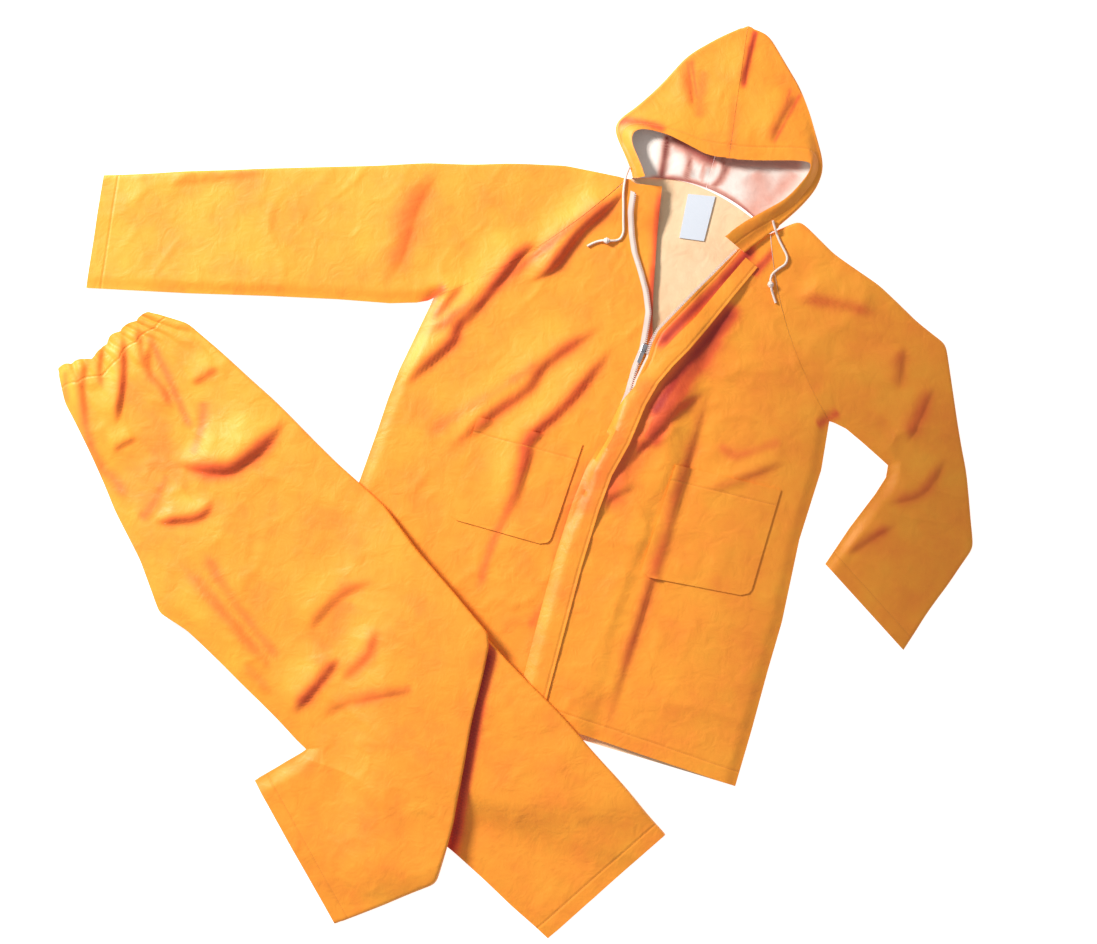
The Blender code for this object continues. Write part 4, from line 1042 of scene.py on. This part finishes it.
def draped(flat, tree):
    """Middle points of a piece let down on the pieces below. Each point is as high as all that
    lies beside it, so the piece clears them."""
    rays = [
        tree.ray_cast((x * MM, y * MM, DROP * MM), (0.0, 0.0, -1.0)) for x, y in flat.reshape(-1, 2)
    ]
    tops = np.array([ray[0].z / MM for ray in rays]).reshape(flat.shape[:2])
    wide = np.pad(tops, 1, mode="edge")
    rows, columns = tops.shape
    near = [wide[i:i + rows, j:j + columns] for i in range(3) for j in range(3)]
    return np.dstack([flat, np.max(near, axis=0) + 2 * APART + CLOTH / 2])

# %% [markdown]
# ## Sewing a piece
# A piece of cloth here is a closed wall about a grid of points: its outer face in one finish, its
# inner face in another, its cut edges turned in. Each point also keeps where it lay on the flat cut
# piece, how far it is from a row of stitches, and how much painted shade or painted highlight its
# colour takes from the folds. Those drive the material, so stitches follow the cloth and not the
# table.

# %% Sewing a piece
made_pieces = []


def put_on(name, mesh):
    """A new piece that rides on the suit."""
    piece = added(name, mesh)
    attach(piece, "suit")
    return piece


def runs(grid):
    """How far each point of a grid is along its row, and down its column, over the cloth."""
    across = np.zeros(grid.shape[:2])
    across[:, 1:] = np.cumsum(np.linalg.norm(np.diff(grid, axis=1), axis=2), axis=1)
    down = np.zeros(grid.shape[:2])
    down[1:] = np.cumsum(np.linalg.norm(np.diff(grid, axis=0), axis=2), axis=0)
    return across, down


def nearest_row(run, whole, rows):
    """Distance to the nearest of the rows of stitches, set in from the start or the end. It is
    negative between a row and its own edge."""
    away = np.full(run.shape, 1000.0)
    for inset in rows:
        reach = run - inset if inset > 0 else whole - run + inset
        away = np.minimum(away, reach)
    return away


def sewn(name, middle, outward, shade=None, faces=(outside, inside), across_rows=(),
         along_rows=(), thick=SHELL):
    """Makes the wall, gives it its finishes and cloth coordinates, and puts it on the suit.
    Rows of stitches are insets in mm: from the start where positive, from the end where negative.
    across_rows run across the piece, and along_rows run down it."""
    rows, columns = middle.shape[:2]
    skins = [middle + outward * thick / 2, middle - outward * thick / 2]
    points = np.concatenate([skin.reshape(-1, 3) for skin in skins]) * MM
    index = np.arange(rows * columns).reshape(rows, columns)
    behind = rows * columns
    a, b, c, d = index[:-1, :-1], index[1:, :-1], index[1:, 1:], index[:-1, 1:]
    front = np.stack([a, b, c, d], axis=-1).reshape(-1, 4)
    back = front[:, ::-1] + behind
    rim = np.concatenate([index[:, 0], index[-1, 1:], index[-2::-1, -1], index[0, -2:0:-1]])
    after = np.roll(rim, -1)
    sides = np.stack([after, rim, rim + behind, after + behind], axis=-1)
    quads = np.concatenate([front, back, sides])
    mesh = bpy.data.meshes.new(name)
    mesh.from_pydata(points.tolist(), [], quads.tolist())
    first = points[front[0]]
    if np.cross(first[1] - first[0], first[2] - first[0]) @ outward[0, 0] < 0:
        mesh.flip_normals()
    for finish_made in faces:
        mesh.materials.append(finish_made)
    slots = np.zeros(len(quads), int)
    slots[len(front):2 * len(front)] = 1
    mesh.polygons.foreach_set("material_index", slots)
    mesh.shade_smooth()
    mesh.set_sharp_from_angle(angle=math.radians(60))

    across, down = runs(middle)
    # the 'fold' values are painted shade and painted highlight, or open cloth where a piece has none
    keep = {
        "fold": np.full(across.shape, OPEN) if shade is None else shade,
        "stitch_across": nearest_row(down, down[-1:], across_rows),
        "stitch_along": nearest_row(across, across[:, -1:], along_rows),
    }
    for label, values in keep.items():
        layer = mesh.attributes.new(label, "FLOAT", "POINT")
        layer.data.foreach_set("value", np.tile(values.reshape(-1), 2).astype(np.float32))
    cut = mesh.uv_layers.new(name="cut")
    spots = np.tile(np.stack([across, down], axis=-1).reshape(-1, 2) * MM, (2, 1))
    corners = np.zeros(len(mesh.loops), int)
    mesh.loops.foreach_get("vertex_index", corners)
    cut.data.foreach_set("uv", spots[corners].reshape(-1).astype(np.float32))

    piece = put_on(name + "_cloth", mesh)
    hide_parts(name)
    made_pieces.append(piece)
    return piece


def declare(piece, middle):
    """Tells the size that the piece was cut to: its widest, its longest and its area."""
    across, down = runs(middle)
    width = float(across[:, -1].max()) * MM
    length = float(down[-1].max()) * MM
    edge_a = middle[1:, :-1] - middle[:-1, :-1]
    edge_b = middle[:-1, 1:] - middle[:-1, :-1]
    edge_c = middle[1:, 1:] - middle[1:, :-1]
    edge_d = middle[1:, 1:] - middle[:-1, 1:]
    area = np.linalg.norm(np.cross(edge_a, edge_b), axis=2).sum() / 2
    area += np.linalg.norm(np.cross(edge_c, edge_d), axis=2).sum() / 2
    area = float(area) * MM * MM
    area = min(max(area, 0.3 * width * length), width * length)  # a cut fills part of its box
    print(piece.name, "cut", round(width, 3), "by", round(length, 3), "m, area", round(area, 4))

# %% [markdown]
# ## Tubes that lie flat
# Sleeves, hood halves and legs are cut folded: one piece of cloth goes up over the outline and
# comes back beneath. The strip below holds an upper layer, a small round turn at the outline, and a
# lower layer, each row a section across the tube.

# %% Folded strips
class Strip:
    """A piece folded over at its outline: an upper layer, the fold, and a lower layer."""

    def __init__(self, near, fold, end, bow, upper, lower):
        inward = unit(near - fold)
        self.fold = fold
        self.outward = -inward
        edge = fold + inward * TURN
        self.upper_shares = np.linspace(0.0, 1.0, upper + 1)
        lower_edge = edge if np.allclose(near, end) else fold + unit(end - fold) * TURN
        self.upper_flat = bowed(near, edge, self.upper_shares, bow)
        self.lower_flat = bowed(end, lower_edge, np.linspace(0.0, 1.0, lower + 1), bow)

    def lay_lower(self, pile, reach, lift=lambda x, y: 0.0):
        height = pile.over(reach)
        self.lower = laid(self.lower_flat, height, lift(*np.moveaxis(self.lower_flat, 2, 0)))

    def lay_upper(self, pile, reach, lift):
        height = pile.over(reach)
        x, y = np.moveaxis(self.upper_flat, 2, 0)
        self.upper = laid(self.upper_flat, height, lift(x, y, self.upper_shares[None, :]))

    def whole(self):
        """The grid over the top, round the turn and back below, and its outward directions."""
        top = self.upper[:, -1]
        bottom = self.lower[:, -1]
        middle = (top + bottom) / 2
        half = (top[:, 2] - bottom[:, 2]) / 2
        turns = []
        facings = []
        for degrees in (60, 30, 0, -30, -60):
            angle = math.radians(degrees)
            point = middle.copy()
            point[:, :2] += self.outward * (TURN - CLOTH / 2) * math.cos(angle)
            point[:, 2] += half * math.sin(angle)
            up = np.full((len(middle), 1), math.sin(angle))
            turns.append(point)
            facings.append(np.concatenate([self.outward * math.cos(angle), up], axis=1))
        grid = np.concatenate([self.upper, np.stack(turns, axis=1), self.lower[:, ::-1]], axis=1)
        facing = np.concatenate(
            [upright(self.upper), np.stack(facings, axis=1), -upright(self.lower)], axis=1
        )
        return grid, facing


def shade_over(strip, folds, grid, shades=(), lower_folds=(), lower_shades=()):
    """Painted shade and highlight, as depth of colour, on a strip's whole grid."""
    shade = np.full(grid.shape[:2], OPEN)
    x, y = np.moveaxis(strip.upper_flat, 2, 0)
    shade[:, :x.shape[1]] = painted_shade_and_highlight(x, y, folds, shades)
    x, y = np.moveaxis(strip.lower_flat[:, ::-1], 2, 0)
    shade[:, -x.shape[1]:] = painted_shade_and_highlight(x, y, lower_folds, lower_shades)
    return shade

# %% [markdown]
# ## The jacket's ground layer
# The back is one panel from neck to hem, and lies on the floor with the lower layer of each sleeve
# beside it. At the open neck its uncoated side shows, warm with light that comes through the cloth.

# %% Back and lower sleeves
RAGLAN_STEPS = 62
SIDE_STEPS = 136
NECK_STEPS = 20  # along half of the neck seam
NECK_REACH = 115.0  # the bow of the neck seam dies out this far down the back
pile = Pile()


def seam_curve(table, side):
    """A body panel's edge: down the raglan seam from the neck, then down the side to the hem."""
    return np.concatenate([raglan(table, RAGLAN_STEPS), resampled(side, SIDE_STEPS + 1)[1:]])


right_curve = seam_curve(RIGHT_SLEEVE, RIGHT_SIDE)
left_curve = seam_curve(LEFT_SLEEVE, LEFT_SIDE)
back_flat = between([right_curve, left_curve], [96])
share = np.linspace(0.0, 1.0, back_flat.shape[1])
rise = 1 - np.linalg.norm(back_flat - back_flat[:1], axis=2) / NECK_REACH
back_flat[..., 1] += NECK_BOW * 4 * share * (1 - share) * np.clip(rise, 0.0, 1.0) ** 1.5
back = laid(back_flat, pile.over(REACH), 0.0)


def sleeve(table, upper, lower):
    fold, under, bow = sections(table, SPACING)
    fold = eased(fold, 6)
    back_off = unit(fold[-1] - fold[-2]) * SEAM_SHARE
    fold[-1] -= back_off
    under[-1] -= back_off
    return Strip(under, fold, under, bow[:, 0], upper, lower)


sleeve_right = sleeve(RIGHT_SLEEVE, 44, 24)
sleeve_left = sleeve(LEFT_SLEEVE, 44, 24)
for strip in (sleeve_right, sleeve_left):
    strip.lay_lower(pile, REACH)
for layer in (back, sleeve_right.lower, sleeve_left.lower):
    pile.add(surface(layer))
x, y = back_flat[..., 0], back_flat[..., 1]
back[..., 2] += 0.5 * small_creases(x, y, 11)
piece = sewn(
    "jacket_back", back, upright(back), faces=(back_inside, outside), across_rows=(-HEM,)
)
declare(piece, back)

# %% [markdown]
# ## Hood, lower layer
# The hood is two halves joined along the middle. Its mouth faces down the picture, so the inside of
# its lower layer shows there, gathered where it meets the neck.

# %% Hood halves
def hood_half(table, side):
    """Side is -1 for the right half and 1 for the left one, which meet along the centre."""
    rim, fold, tail = sections(table, SPACING)
    rim, fold = eased(rim, 16), eased(fold, 16)
    start = np.array([RIGHT_SLEEVE[-1][1]], float)
    end = np.array([LEFT_SLEEVE[-1][1]], float)
    neck = bowed(start, end, np.linspace(0.0, 1.0, 2 * NECK_STEPS + 1), np.array([NECK_BOW]))[0]
    neck = neck[NECK_STEPS::-1] if side < 0 else neck[NECK_STEPS:]
    centre = np.vstack([CENTRE_BACK[0], neck[0]])
    down = np.clip(tail, 0.0, 1.0)
    reach_to = centre[0] * (1 - down) + centre[1] * down
    along = np.clip(tail[:, 0] - 1.0, 0.0, 1.0) * (len(neck) - 1)
    past = picked(along, np.arange(len(neck)), neck)
    reach_to = np.where(tail > 1.0, past, reach_to)
    reach_to = np.where(tail > 2.9, fold + unit(rim - fold) * TURNING, reach_to)
    shift = np.array([side * SEAM_SHARE, 0.0])
    half = Strip(rim + shift, fold + shift, reach_to + shift, np.zeros(len(rim)), 34, 30)
    half.turned = tail[:, 0] > 2.0
    return half


hood_right = hood_half(RIGHT_HOOD, -1)
hood_left = hood_half(LEFT_HOOD, 1)
hood_base = pile.copy()
for strip in (hood_right, hood_left):
    strip.lay_lower(hood_base, NEAR, lambda x, y: drape(x, y, HOOD_INSIDE_FOLDS))
pile.add(surface(hood_right.lower))
pile.add(surface(hood_left.lower[~hood_left.turned]))

# %% [markdown]
# ## Sleeves and fronts
# The sleeves' upper layers and the two fronts lie on the ground layer and come down to it at the
# closed seams. The left front lies over the right one's underlap, and its open edge is turned
# outwards above the slider, which throws the long fold beside the zip.

# %% Sleeves
right_closing = closing([row[2] for row in RIGHT_SLEEVE] + list(RIGHT_SIDE[1:]))
left_closing = closing([row[2] for row in LEFT_SLEEVE] + list(LEFT_SIDE[1:]))


TROUSERS_EDGE = ((223, -527), (-407, 165))
OVER_LEG_EDGE = ((-150, -640), (-41, -200))
TURNED_SHARE = 0.6  # a further share for the folds of the turned edge


def body_lift(close, seed, turn, wave_seed):
    """How far a front, or a sleeve's upper layer, stands off what lies below it."""

    def lift(x, y, share=None):
        small = CREASE * small_creases(x, y, seed, turn)
        height = drape(x, y, JACKET_FOLDS) + small + waves(x, y, wave_seed)
        return close(x, y) * (LOFT + beyond(x, y, TROUSERS_EDGE) * height)

    return lift


right_lift = body_lift(right_closing, 21, 50, 71)
left_lift = body_lift(left_closing, 22, -20, 72)


def open_lift(x, y):
    turned = TURNED_SHARE * drape(x, y, OPEN_FRONT_FOLDS) * left_closing(x, y)
    return left_lift(x, y) + turned * beyond(x, y, TROUSERS_EDGE)


for strip, lift in ((sleeve_right, right_lift), (sleeve_left, left_lift)):
    strip.lay_upper(pile, REACH, lift)

# %% Fronts
steps = (RAGLAN_STEPS, SIDE_STEPS)
zip_line = joined(RIGHT_ZIP_OPEN, RIGHT_ZIP_SHUT, steps)
edge = joined(RIGHT_EDGE_OPEN, RIGHT_EDGE_SHUT, steps)
toward = right_curve - zip_line
width = np.minimum(TAPE, 0.5 * np.linalg.norm(toward, axis=1, keepdims=True))
tape_line = zip_line + unit(toward) * width
ZIP_COLUMN = 72
right_flat = between([right_curve, tape_line, zip_line, edge], [ZIP_COLUMN, 2, 4])
x, y = np.moveaxis(right_flat, 2, 0)
right_front = laid(right_flat, pile.over(REACH), right_lift(x, y))
# painted shade in the folds, along the edges and creases, and painted highlight on slopes facing the
# light
right_shade = painted_shade_and_highlight(x, y, JACKET_FOLDS, RIGHT_EDGE_SHADES + RIGHT_CREASE_SHADES)

inner = pile.copy()
inner.add(surface(right_front))
left_edge = joined(LEFT_EDGE_OPEN, LEFT_EDGE_SHUT, steps)
left_flat = between([left_edge, left_curve], [88], 1.3)
x, y = np.moveaxis(left_flat, 2, 0)
left_front = laid(left_flat, inner.over(REACH), open_lift(x, y))
# the same painted shade and highlight on the left front, with the painted dark gaps beside the flap
left_shade = painted_shade_and_highlight(x, y, JACKET_FOLDS, LEFT_EDGE_SHADES + LEFT_CREASE_SHADES)

for layer in (sleeve_right.upper, sleeve_left.upper, right_front, left_front):
    pile.add(surface(layer))
for name, strip in (("sleeve_right", sleeve_right), ("sleeve_left", sleeve_left)):
    grid, facing = strip.whole()
    piece = sewn(
        name, grid, facing, shade_over(strip, JACKET_FOLDS, grid, CREASE_SHADES),
        across_rows=(HEM,),
    )
    declare(piece, grid)
front_right = sewn(
    "jacket_front_right", right_front, upright(right_front), right_shade,
    across_rows=(-HEM,),
)
front_left = sewn(
    "jacket_front_left", left_front, upright(left_front), left_shade,
    across_rows=(-HEM,), along_rows=(6.0,),
)

# %% [markdown]
# ## Zip
# The tapes are narrow strips at the edges of the fronts. The teeth are one small block, modelled
# once and copied along both tapes, and where the zip is shut the two rows mesh.

# %% Zip tapes
right_tape = raised(right_front[3:, ZIP_COLUMN:ZIP_COLUMN + 3], CLOTH + APART)
outward = unit(left_front[:, 0] - left_front[:, 2]) * np.array([1.0, 1.0, 0.0])
left_tape = np.concatenate(
    [(left_front[:, 0] + outward * TAPE_OUT)[:, None], left_front[:, :3]], axis=1
)
left_tape = raised(left_tape, -CLOTH - APART)
for name, grid, front, panel in (
    ("zip_tape_right", right_tape, front_right, right_front),
    ("zip_tape_left", left_tape, front_left, left_front),
):
    tape = sewn(name, grid, upright(grid), faces=(tape_cloth, tape_cloth))
    declare(front, panel)
pile.add(surface(right_tape))

# %% [markdown]
# ## Storm flap and pockets
# The flap is sewn beside the zip on the left front and covers the shut zip. The pockets are patches
# with a turned, stitched mouth at the top and rounded lower corners.

# %% Storm flap
def levelled(grid, reach):
    """Evens out the heights down a strip, and never lowers it."""
    rows = np.arange(len(grid))
    near = [np.clip(rows + step, 0, rows[-1]) for step in range(-reach, reach + 1)]
    high = np.max([grid[row, :, 2] for row in near], axis=0)
    return np.dstack([grid[..., :2], np.mean([high[row] for row in near], axis=0)])


flap_free, flap_sewn = sections(STORM_FLAP, SPACING)
flap_free[:, 0] -= TAPE * smooth((150.0 - flap_free[:, 1]) / 40.0)  # it hides the tape
flap_flat = between([flap_free, flap_sewn], [7])
flap = levelled(draped(flap_flat, below(made_pieces)), 3)
x, y = flap_flat[..., 0], flap_flat[..., 1]
# painted shade on the flap beside the zip
piece = sewn(
    "storm_flap", flap, upright(flap), painted_shade_and_highlight(x, y, (), FLAP_SHADES),
    along_rows=(-4.0,),
)
declare(piece, flap)
pile.add(surface(flap))

# %% Pockets
for name, corners in (("pocket_right", RIGHT_POCKET), ("pocket_left", LEFT_POCKET)):
    flat = patch(corners, 34, 34, True)
    x, y = flat[..., 0], flat[..., 1]
    pocket = draped(flat, below(made_pieces))
    # the pocket takes the painted shade and highlight of the folds under it
    piece = sewn(
        name, pocket, upright(pocket), painted_shade_and_highlight(x, y, JACKET_FOLDS, CREASE_SHADES),
        across_rows=(24.0,),
    )
    declare(piece, pocket)
    pile.add(surface(pocket))

# %% [markdown]
# ## Hood, upper layer
# The upper layer stands open at the mouth, so it casts a soft shadow on the lining below it, and
# painted shade on the lining deepens it under the rim and in the gathers. A cord
# runs in the hem of the mouth, which shows as a stitched row.

# %% Hood, upper layer
def hood_lift(x, y, share):
    folds = drape(x, y, HOOD_FOLDS) + CREASE * small_creases(x, y, 51, 70)
    return (1 - smooth(share)) * HOOD_LIFT + folds * (1 - share**4) + LOFT


for strip in (hood_right, hood_left):
    strip.lay_upper(pile, NEAR, hood_lift)
close = hood_left.upper[:, -1:, 2] - CLOTH - 2 * APART
hood_left.lower[..., 2] = np.where(hood_left.turned[:, None], close, hood_left.lower[..., 2])
for name, strip in (("hood_right", hood_right), ("hood_left", hood_left)):
    pile.add(surface(strip.upper))
    grid, facing = strip.whole()
    piece = sewn(
        name, grid, facing,
        shade_over(strip, HOOD_FOLDS, grid, HOOD_SHADES, HOOD_INSIDE_FOLDS, LINING_SHADES),
        along_rows=(20.0,),
    )
    declare(piece, grid)

# %% Label
inside_back = Pile()
inside_back.add(surface(back))
flat = patch(LABEL, 12, 14, False)
label = laid(flat, inside_back.over(NEAR), 0.0)
piece = sewn(
    "label", label, upright(label), faces=(label_cloth, label_cloth),
    across_rows=(3.0, -3.0), along_rows=(3.0, -3.0),
)
declare(piece, label)

# %% [markdown]
# ## Trousers
# The trousers are folded in half along the middle seam, so the left leg lies on the right one. Each
# leg is a tube laid flat. Elastic in the waist casing gathers the top, and the bent knee throws fans
# of folds across the leg.

# %% Trousers
EDGE = 0.1  # the share of a leg's width over which its upper layer rises from the inseam
NOTCH = 5.0  # depth of the notches in the waist edge, and how many there are
NOTCHES = 5.5
DIP = 13.0  # depth of the one deep dip, and its middle and width as shares of the waist
DIP_PLACE = (0.36, 0.17)
PLEAT = 3.2  # height of the pleats below the elastic, and how many there are
PLEATS = 10.0


def scalloped(flat, shares, inset):
    """Draws the waist edge in between its gathers, less and less down the leg."""
    way = unit(flat[1] - flat[0])
    notches = NOTCH * (1 - np.abs(np.sin(math.pi * (shares * NOTCHES + 0.2))) ** 0.7)
    dip = DIP * bell(shares, *DIP_PLACE)
    depth = np.linalg.norm(flat - flat[:1], axis=2)
    fade = np.exp(-depth / 30.0)
    return flat + way * (notches + dip + inset)[:, None] * fade[..., None]


def leg(table, upper, lower, inset):
    inseam, fold = sections(table, SPACING)
    inseam, fold = eased(inseam, 5), eased(fold, 5)
    tube = Strip(inseam, fold, inseam, np.zeros(len(fold)), upper, lower)
    tube.upper_flat = scalloped(tube.upper_flat, np.linspace(0.0, 1.0, upper + 1), inset)
    tube.lower_flat = scalloped(tube.lower_flat, np.linspace(0.0, 1.0, lower + 1), inset)
    tube.outward = unit(tube.upper_flat[:, -1] - tube.upper_flat[:, -2])
    return tube


under_leg = leg(RIGHT_LEG, 50, 28, 3.0)
over_leg = leg(LEFT_LEG, 72, 34, 0.0)
WAIST = (LEFT_LEG[0][1], LEFT_LEG[0][2], LEFT_LEG[1][2])


def plain_lift(x, y, share):
    height = CREASE * small_creases(x, y, 61, -40) + waves(x, y, 73)
    return smooth(share / EDGE) * (LOFT + beyond(x, y, OVER_LEG_EDGE) * height)


def gathers(x, y, share):
    """Close pleats below the elastic, which die out down the leg."""
    depth = np.abs(to_line(x, y, WAIST)[0])
    wander = random_heights(x, y, 34.0, 9)
    pleats = np.abs(np.sin(math.pi * (share * PLEATS + 0.8 * wander)))
    return PLEAT * pleats * bell(depth, 0.0, 35.0 + 45.0 * wander)


def creased_lift(x, y, share):
    small = 1.5 * small_creases(x, y, 62, -40) + waves(x, y, 74) + gathers(x, y, share)
    return smooth(share / EDGE) * (LOFT + drape(x, y, TROUSER_FOLDS) + small)


for strip, lift in ((under_leg, plain_lift), (over_leg, creased_lift)):
    strip.lay_lower(pile, REACH)
    pile.add(surface(strip.lower))
    strip.lay_upper(pile, REACH, lift)
    pile.add(surface(strip.upper))
# SLIT_SHADES paint the shadow of the left leg's folded edge on the right leg; HIP_SHADES paint shade
# in the left leg's creases.
legs = (
    ("trousers_right_leg", under_leg, (), SLIT_SHADES),
    ("trousers_left_leg", over_leg, TROUSER_FOLDS, HIP_SHADES),
)
for name, strip, folds, shades in legs:
    grid, facing = strip.whole()
    piece = sewn(
        name, grid, facing, shade_over(strip, folds, grid, shades),
        across_rows=(30.0, -HEM),
    )
    declare(piece, grid)

# %% [markdown]
# ## Drawcords
# The hood's cord comes out at both ends of the mouth and ends in a knot. It is limp and lies where
# it fell. Each point of its route is let down until the cord rests on the cloth.

# %% Cord routes
tree = below(made_pieces)


def cord_route(flat_route, knot_share):
    """The route over the cloth, how far along it each point is, and where the knot begins."""
    flat = smooth_route(flat_route)
    marks = travelled(flat)
    start = knot_share * marks[-1]
    knotted = np.abs(marks - start - KNOT / 2) < KNOT
    radii = np.where(knotted, KNOT, CORD) / 2 + 2 * APART
    z = np.array([sunk(point, radius, tree) for point, radius in zip(flat, radii)])
    steepest = STEEPEST * np.abs(marks[:, None] - marks[None, :])
    route = np.column_stack([flat, (z[None, :] - steepest).max(axis=1)])
    return route, marks, start


def outwards(name, points, faces, finish_made):
    """A mesh in one finish, with all its faces turned outwards."""
    mesh = bpy.data.meshes.new(name)
    mesh.from_pydata(points, [], faces)
    shaped = bmesh.new()
    shaped.from_mesh(mesh)
    bmesh.ops.recalc_face_normals(shaped, faces=shaped.faces)
    shaped.to_mesh(mesh)
    shaped.free()
    mesh.materials.append(finish_made)
    return mesh


def swept(name, route, radii, sides=12):
    """Rings of points about a route, joined to one skin of braided cotton."""
    ways = unit(np.gradient(route, axis=0))
    asides = unit(np.cross(ways, (0.0, 0.0, 1.0)))
    rises = np.cross(asides, ways)
    points = []
    for centre, aside, rise_way, radius in zip(route, asides, rises, radii):
        for angle in np.arange(sides) * 2 * math.pi / sides:
            spoke = math.cos(angle) * aside + math.sin(angle) * rise_way
            points.append(tuple((centre + radius * spoke) * MM))
    quads = []
    for ring in range(len(route) - 1):
        for k in range(sides):
            here = ring * sides
            after = (k + 1) % sides
            quads.append((here + k, here + after, here + sides + after, here + sides + k))
    last = (len(route) - 1) * sides
    quads.append(tuple(range(sides))[::-1])
    quads.append(tuple(last + k for k in range(sides)))
    mesh = outwards(name, points, quads, cord_cloth)
    mesh.shade_smooth()
    mesh.set_sharp_from_angle(angle=math.radians(50))
    return put_on(name, mesh)


# %% Drawcords and their knots
def drawcord(name, flat_route, knot_share):
    """One end of the hood's cord: the braid that shows, its knot and the tail beyond it."""
    route, marks, start = cord_route(flat_route, knot_share)
    upper = picked(np.linspace(0.0, start, 40), marks, route)
    piece = swept(name + "_braid", upper, np.full(40, CORD / 2))
    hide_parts(name)
    knot_end = start + KNOT
    tail = np.linspace(knot_end, marks[-1], 14)[1:]
    places = np.concatenate([np.linspace(start, knot_end, 16), tail])
    swell = np.clip((places - start) / KNOT, 0.0, 1.0)
    turns = 1 + 0.12 * np.cos(swell * 4 * math.pi)
    radii = CORD / 2 + (KNOT - CORD) / 2 * np.sqrt(np.sin(math.pi * swell).clip(0.0)) * turns
    knot = swept(name + "_tied", picked(places, marks, route), radii, 16)
    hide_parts(name + "_knot")


drawcord("drawcord_right", RIGHT_CORD, RIGHT_KNOT)
drawcord("drawcord_left", LEFT_CORD, LEFT_KNOT)

# %% [markdown]
# ## Zip teeth, slider and pull
# Each tooth is a small moulded block on the tape's edge. The slider and pull keep their solids'
# shapes, which are right, and get their metal here.

# %% Zip teeth
TOOTH = (4.2, 1.5, 1.8)  # across the tape, along it, and thick
PITCH = 3.0
AIM = 2.0  # a tooth takes its direction from the tape this far to each side
TAPER = 0.7  # its outer end is narrower


def tooth_row(name, line, side):
    """Blocks along a line of points, pointing to that side of it, as one mesh."""
    marks = travelled(line)
    spots = np.arange(PITCH / 2 + side * PITCH / 2, marks[-1], PITCH)
    centres, ahead, behind = (picked(spots + by, marks, line) for by in (0.0, AIM, -AIM))
    ways = unit(ahead - behind)
    asides = unit(np.cross(ways, (0.0, 0.0, 1.0)))
    signs = [(i, j, k) for i in (-1, 1) for j in (-1, 1) for k in (-1, 1)]
    corners = []
    for centre, way, aside in zip(centres, ways, asides):
        up = np.cross(aside, way)
        for i, j, k in signs:
            taper = 1.0 if i * side < 0 else TAPER
            offset = aside * i * TOOTH[0] / 2 + way * j * TOOTH[1] / 2 * taper
            offset = offset + up * k * TOOTH[2] / 2
            corners.append(tuple((centre + offset) * MM))
    block = ((0, 1, 3, 2), (4, 6, 7, 5), (0, 4, 5, 1), (2, 3, 7, 6), (0, 2, 6, 4), (1, 5, 7, 3))
    quads = [tuple(8 * n + k for k in face) for n in range(len(centres)) for face in block]
    put_on(name, outwards(name, corners, quads, teeth_plastic))
    print(name, len(centres), "teeth")


tooth_row("zip_teeth_right", raised(right_tape[:, -1], TOOTH[2] / 2 + CLOTH / 2), 1)
tooth_row("zip_teeth_left", raised(left_tape[:RAGLAN_STEPS, 0], TOOTH[2] / 2 + CLOTH / 2), -1)

# %% Slider and pull
for name in ("zip_slider", "zip_pull"):
    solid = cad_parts[name]
    solid.data.materials.clear()
    solid.data.materials.append(zinc)

# %% [markdown]
# ## Floor
# A white floor that glows, so hardly a shadow shows round the suit, as on a light table.

# %% Floor
FLOOR_SIZE = 12.0
FLOOR_DROP = 0.0008  # it lies this far below the suit, so the two share no plane
GLOW = 0.85
bpy.ops.object.select_all(action="DESELECT")
bpy.ops.mesh.primitive_plane_add(size=FLOOR_SIZE, location=(0.0, 0.0, -FLOOR_DROP))
floor = bpy.context.object
floor.name = "floor"
paper, _, paper_shader = finish("white paper", Roughness=0.9, Emission_Strength=GLOW)
paper_shader.inputs["Base Color"].default_value = (0.5, 0.5, 0.5, 1.0)
paper_shader.inputs["Emission Color"].default_value = (1.0, 1.0, 1.0, 1.0)
floor.data.materials.append(paper)
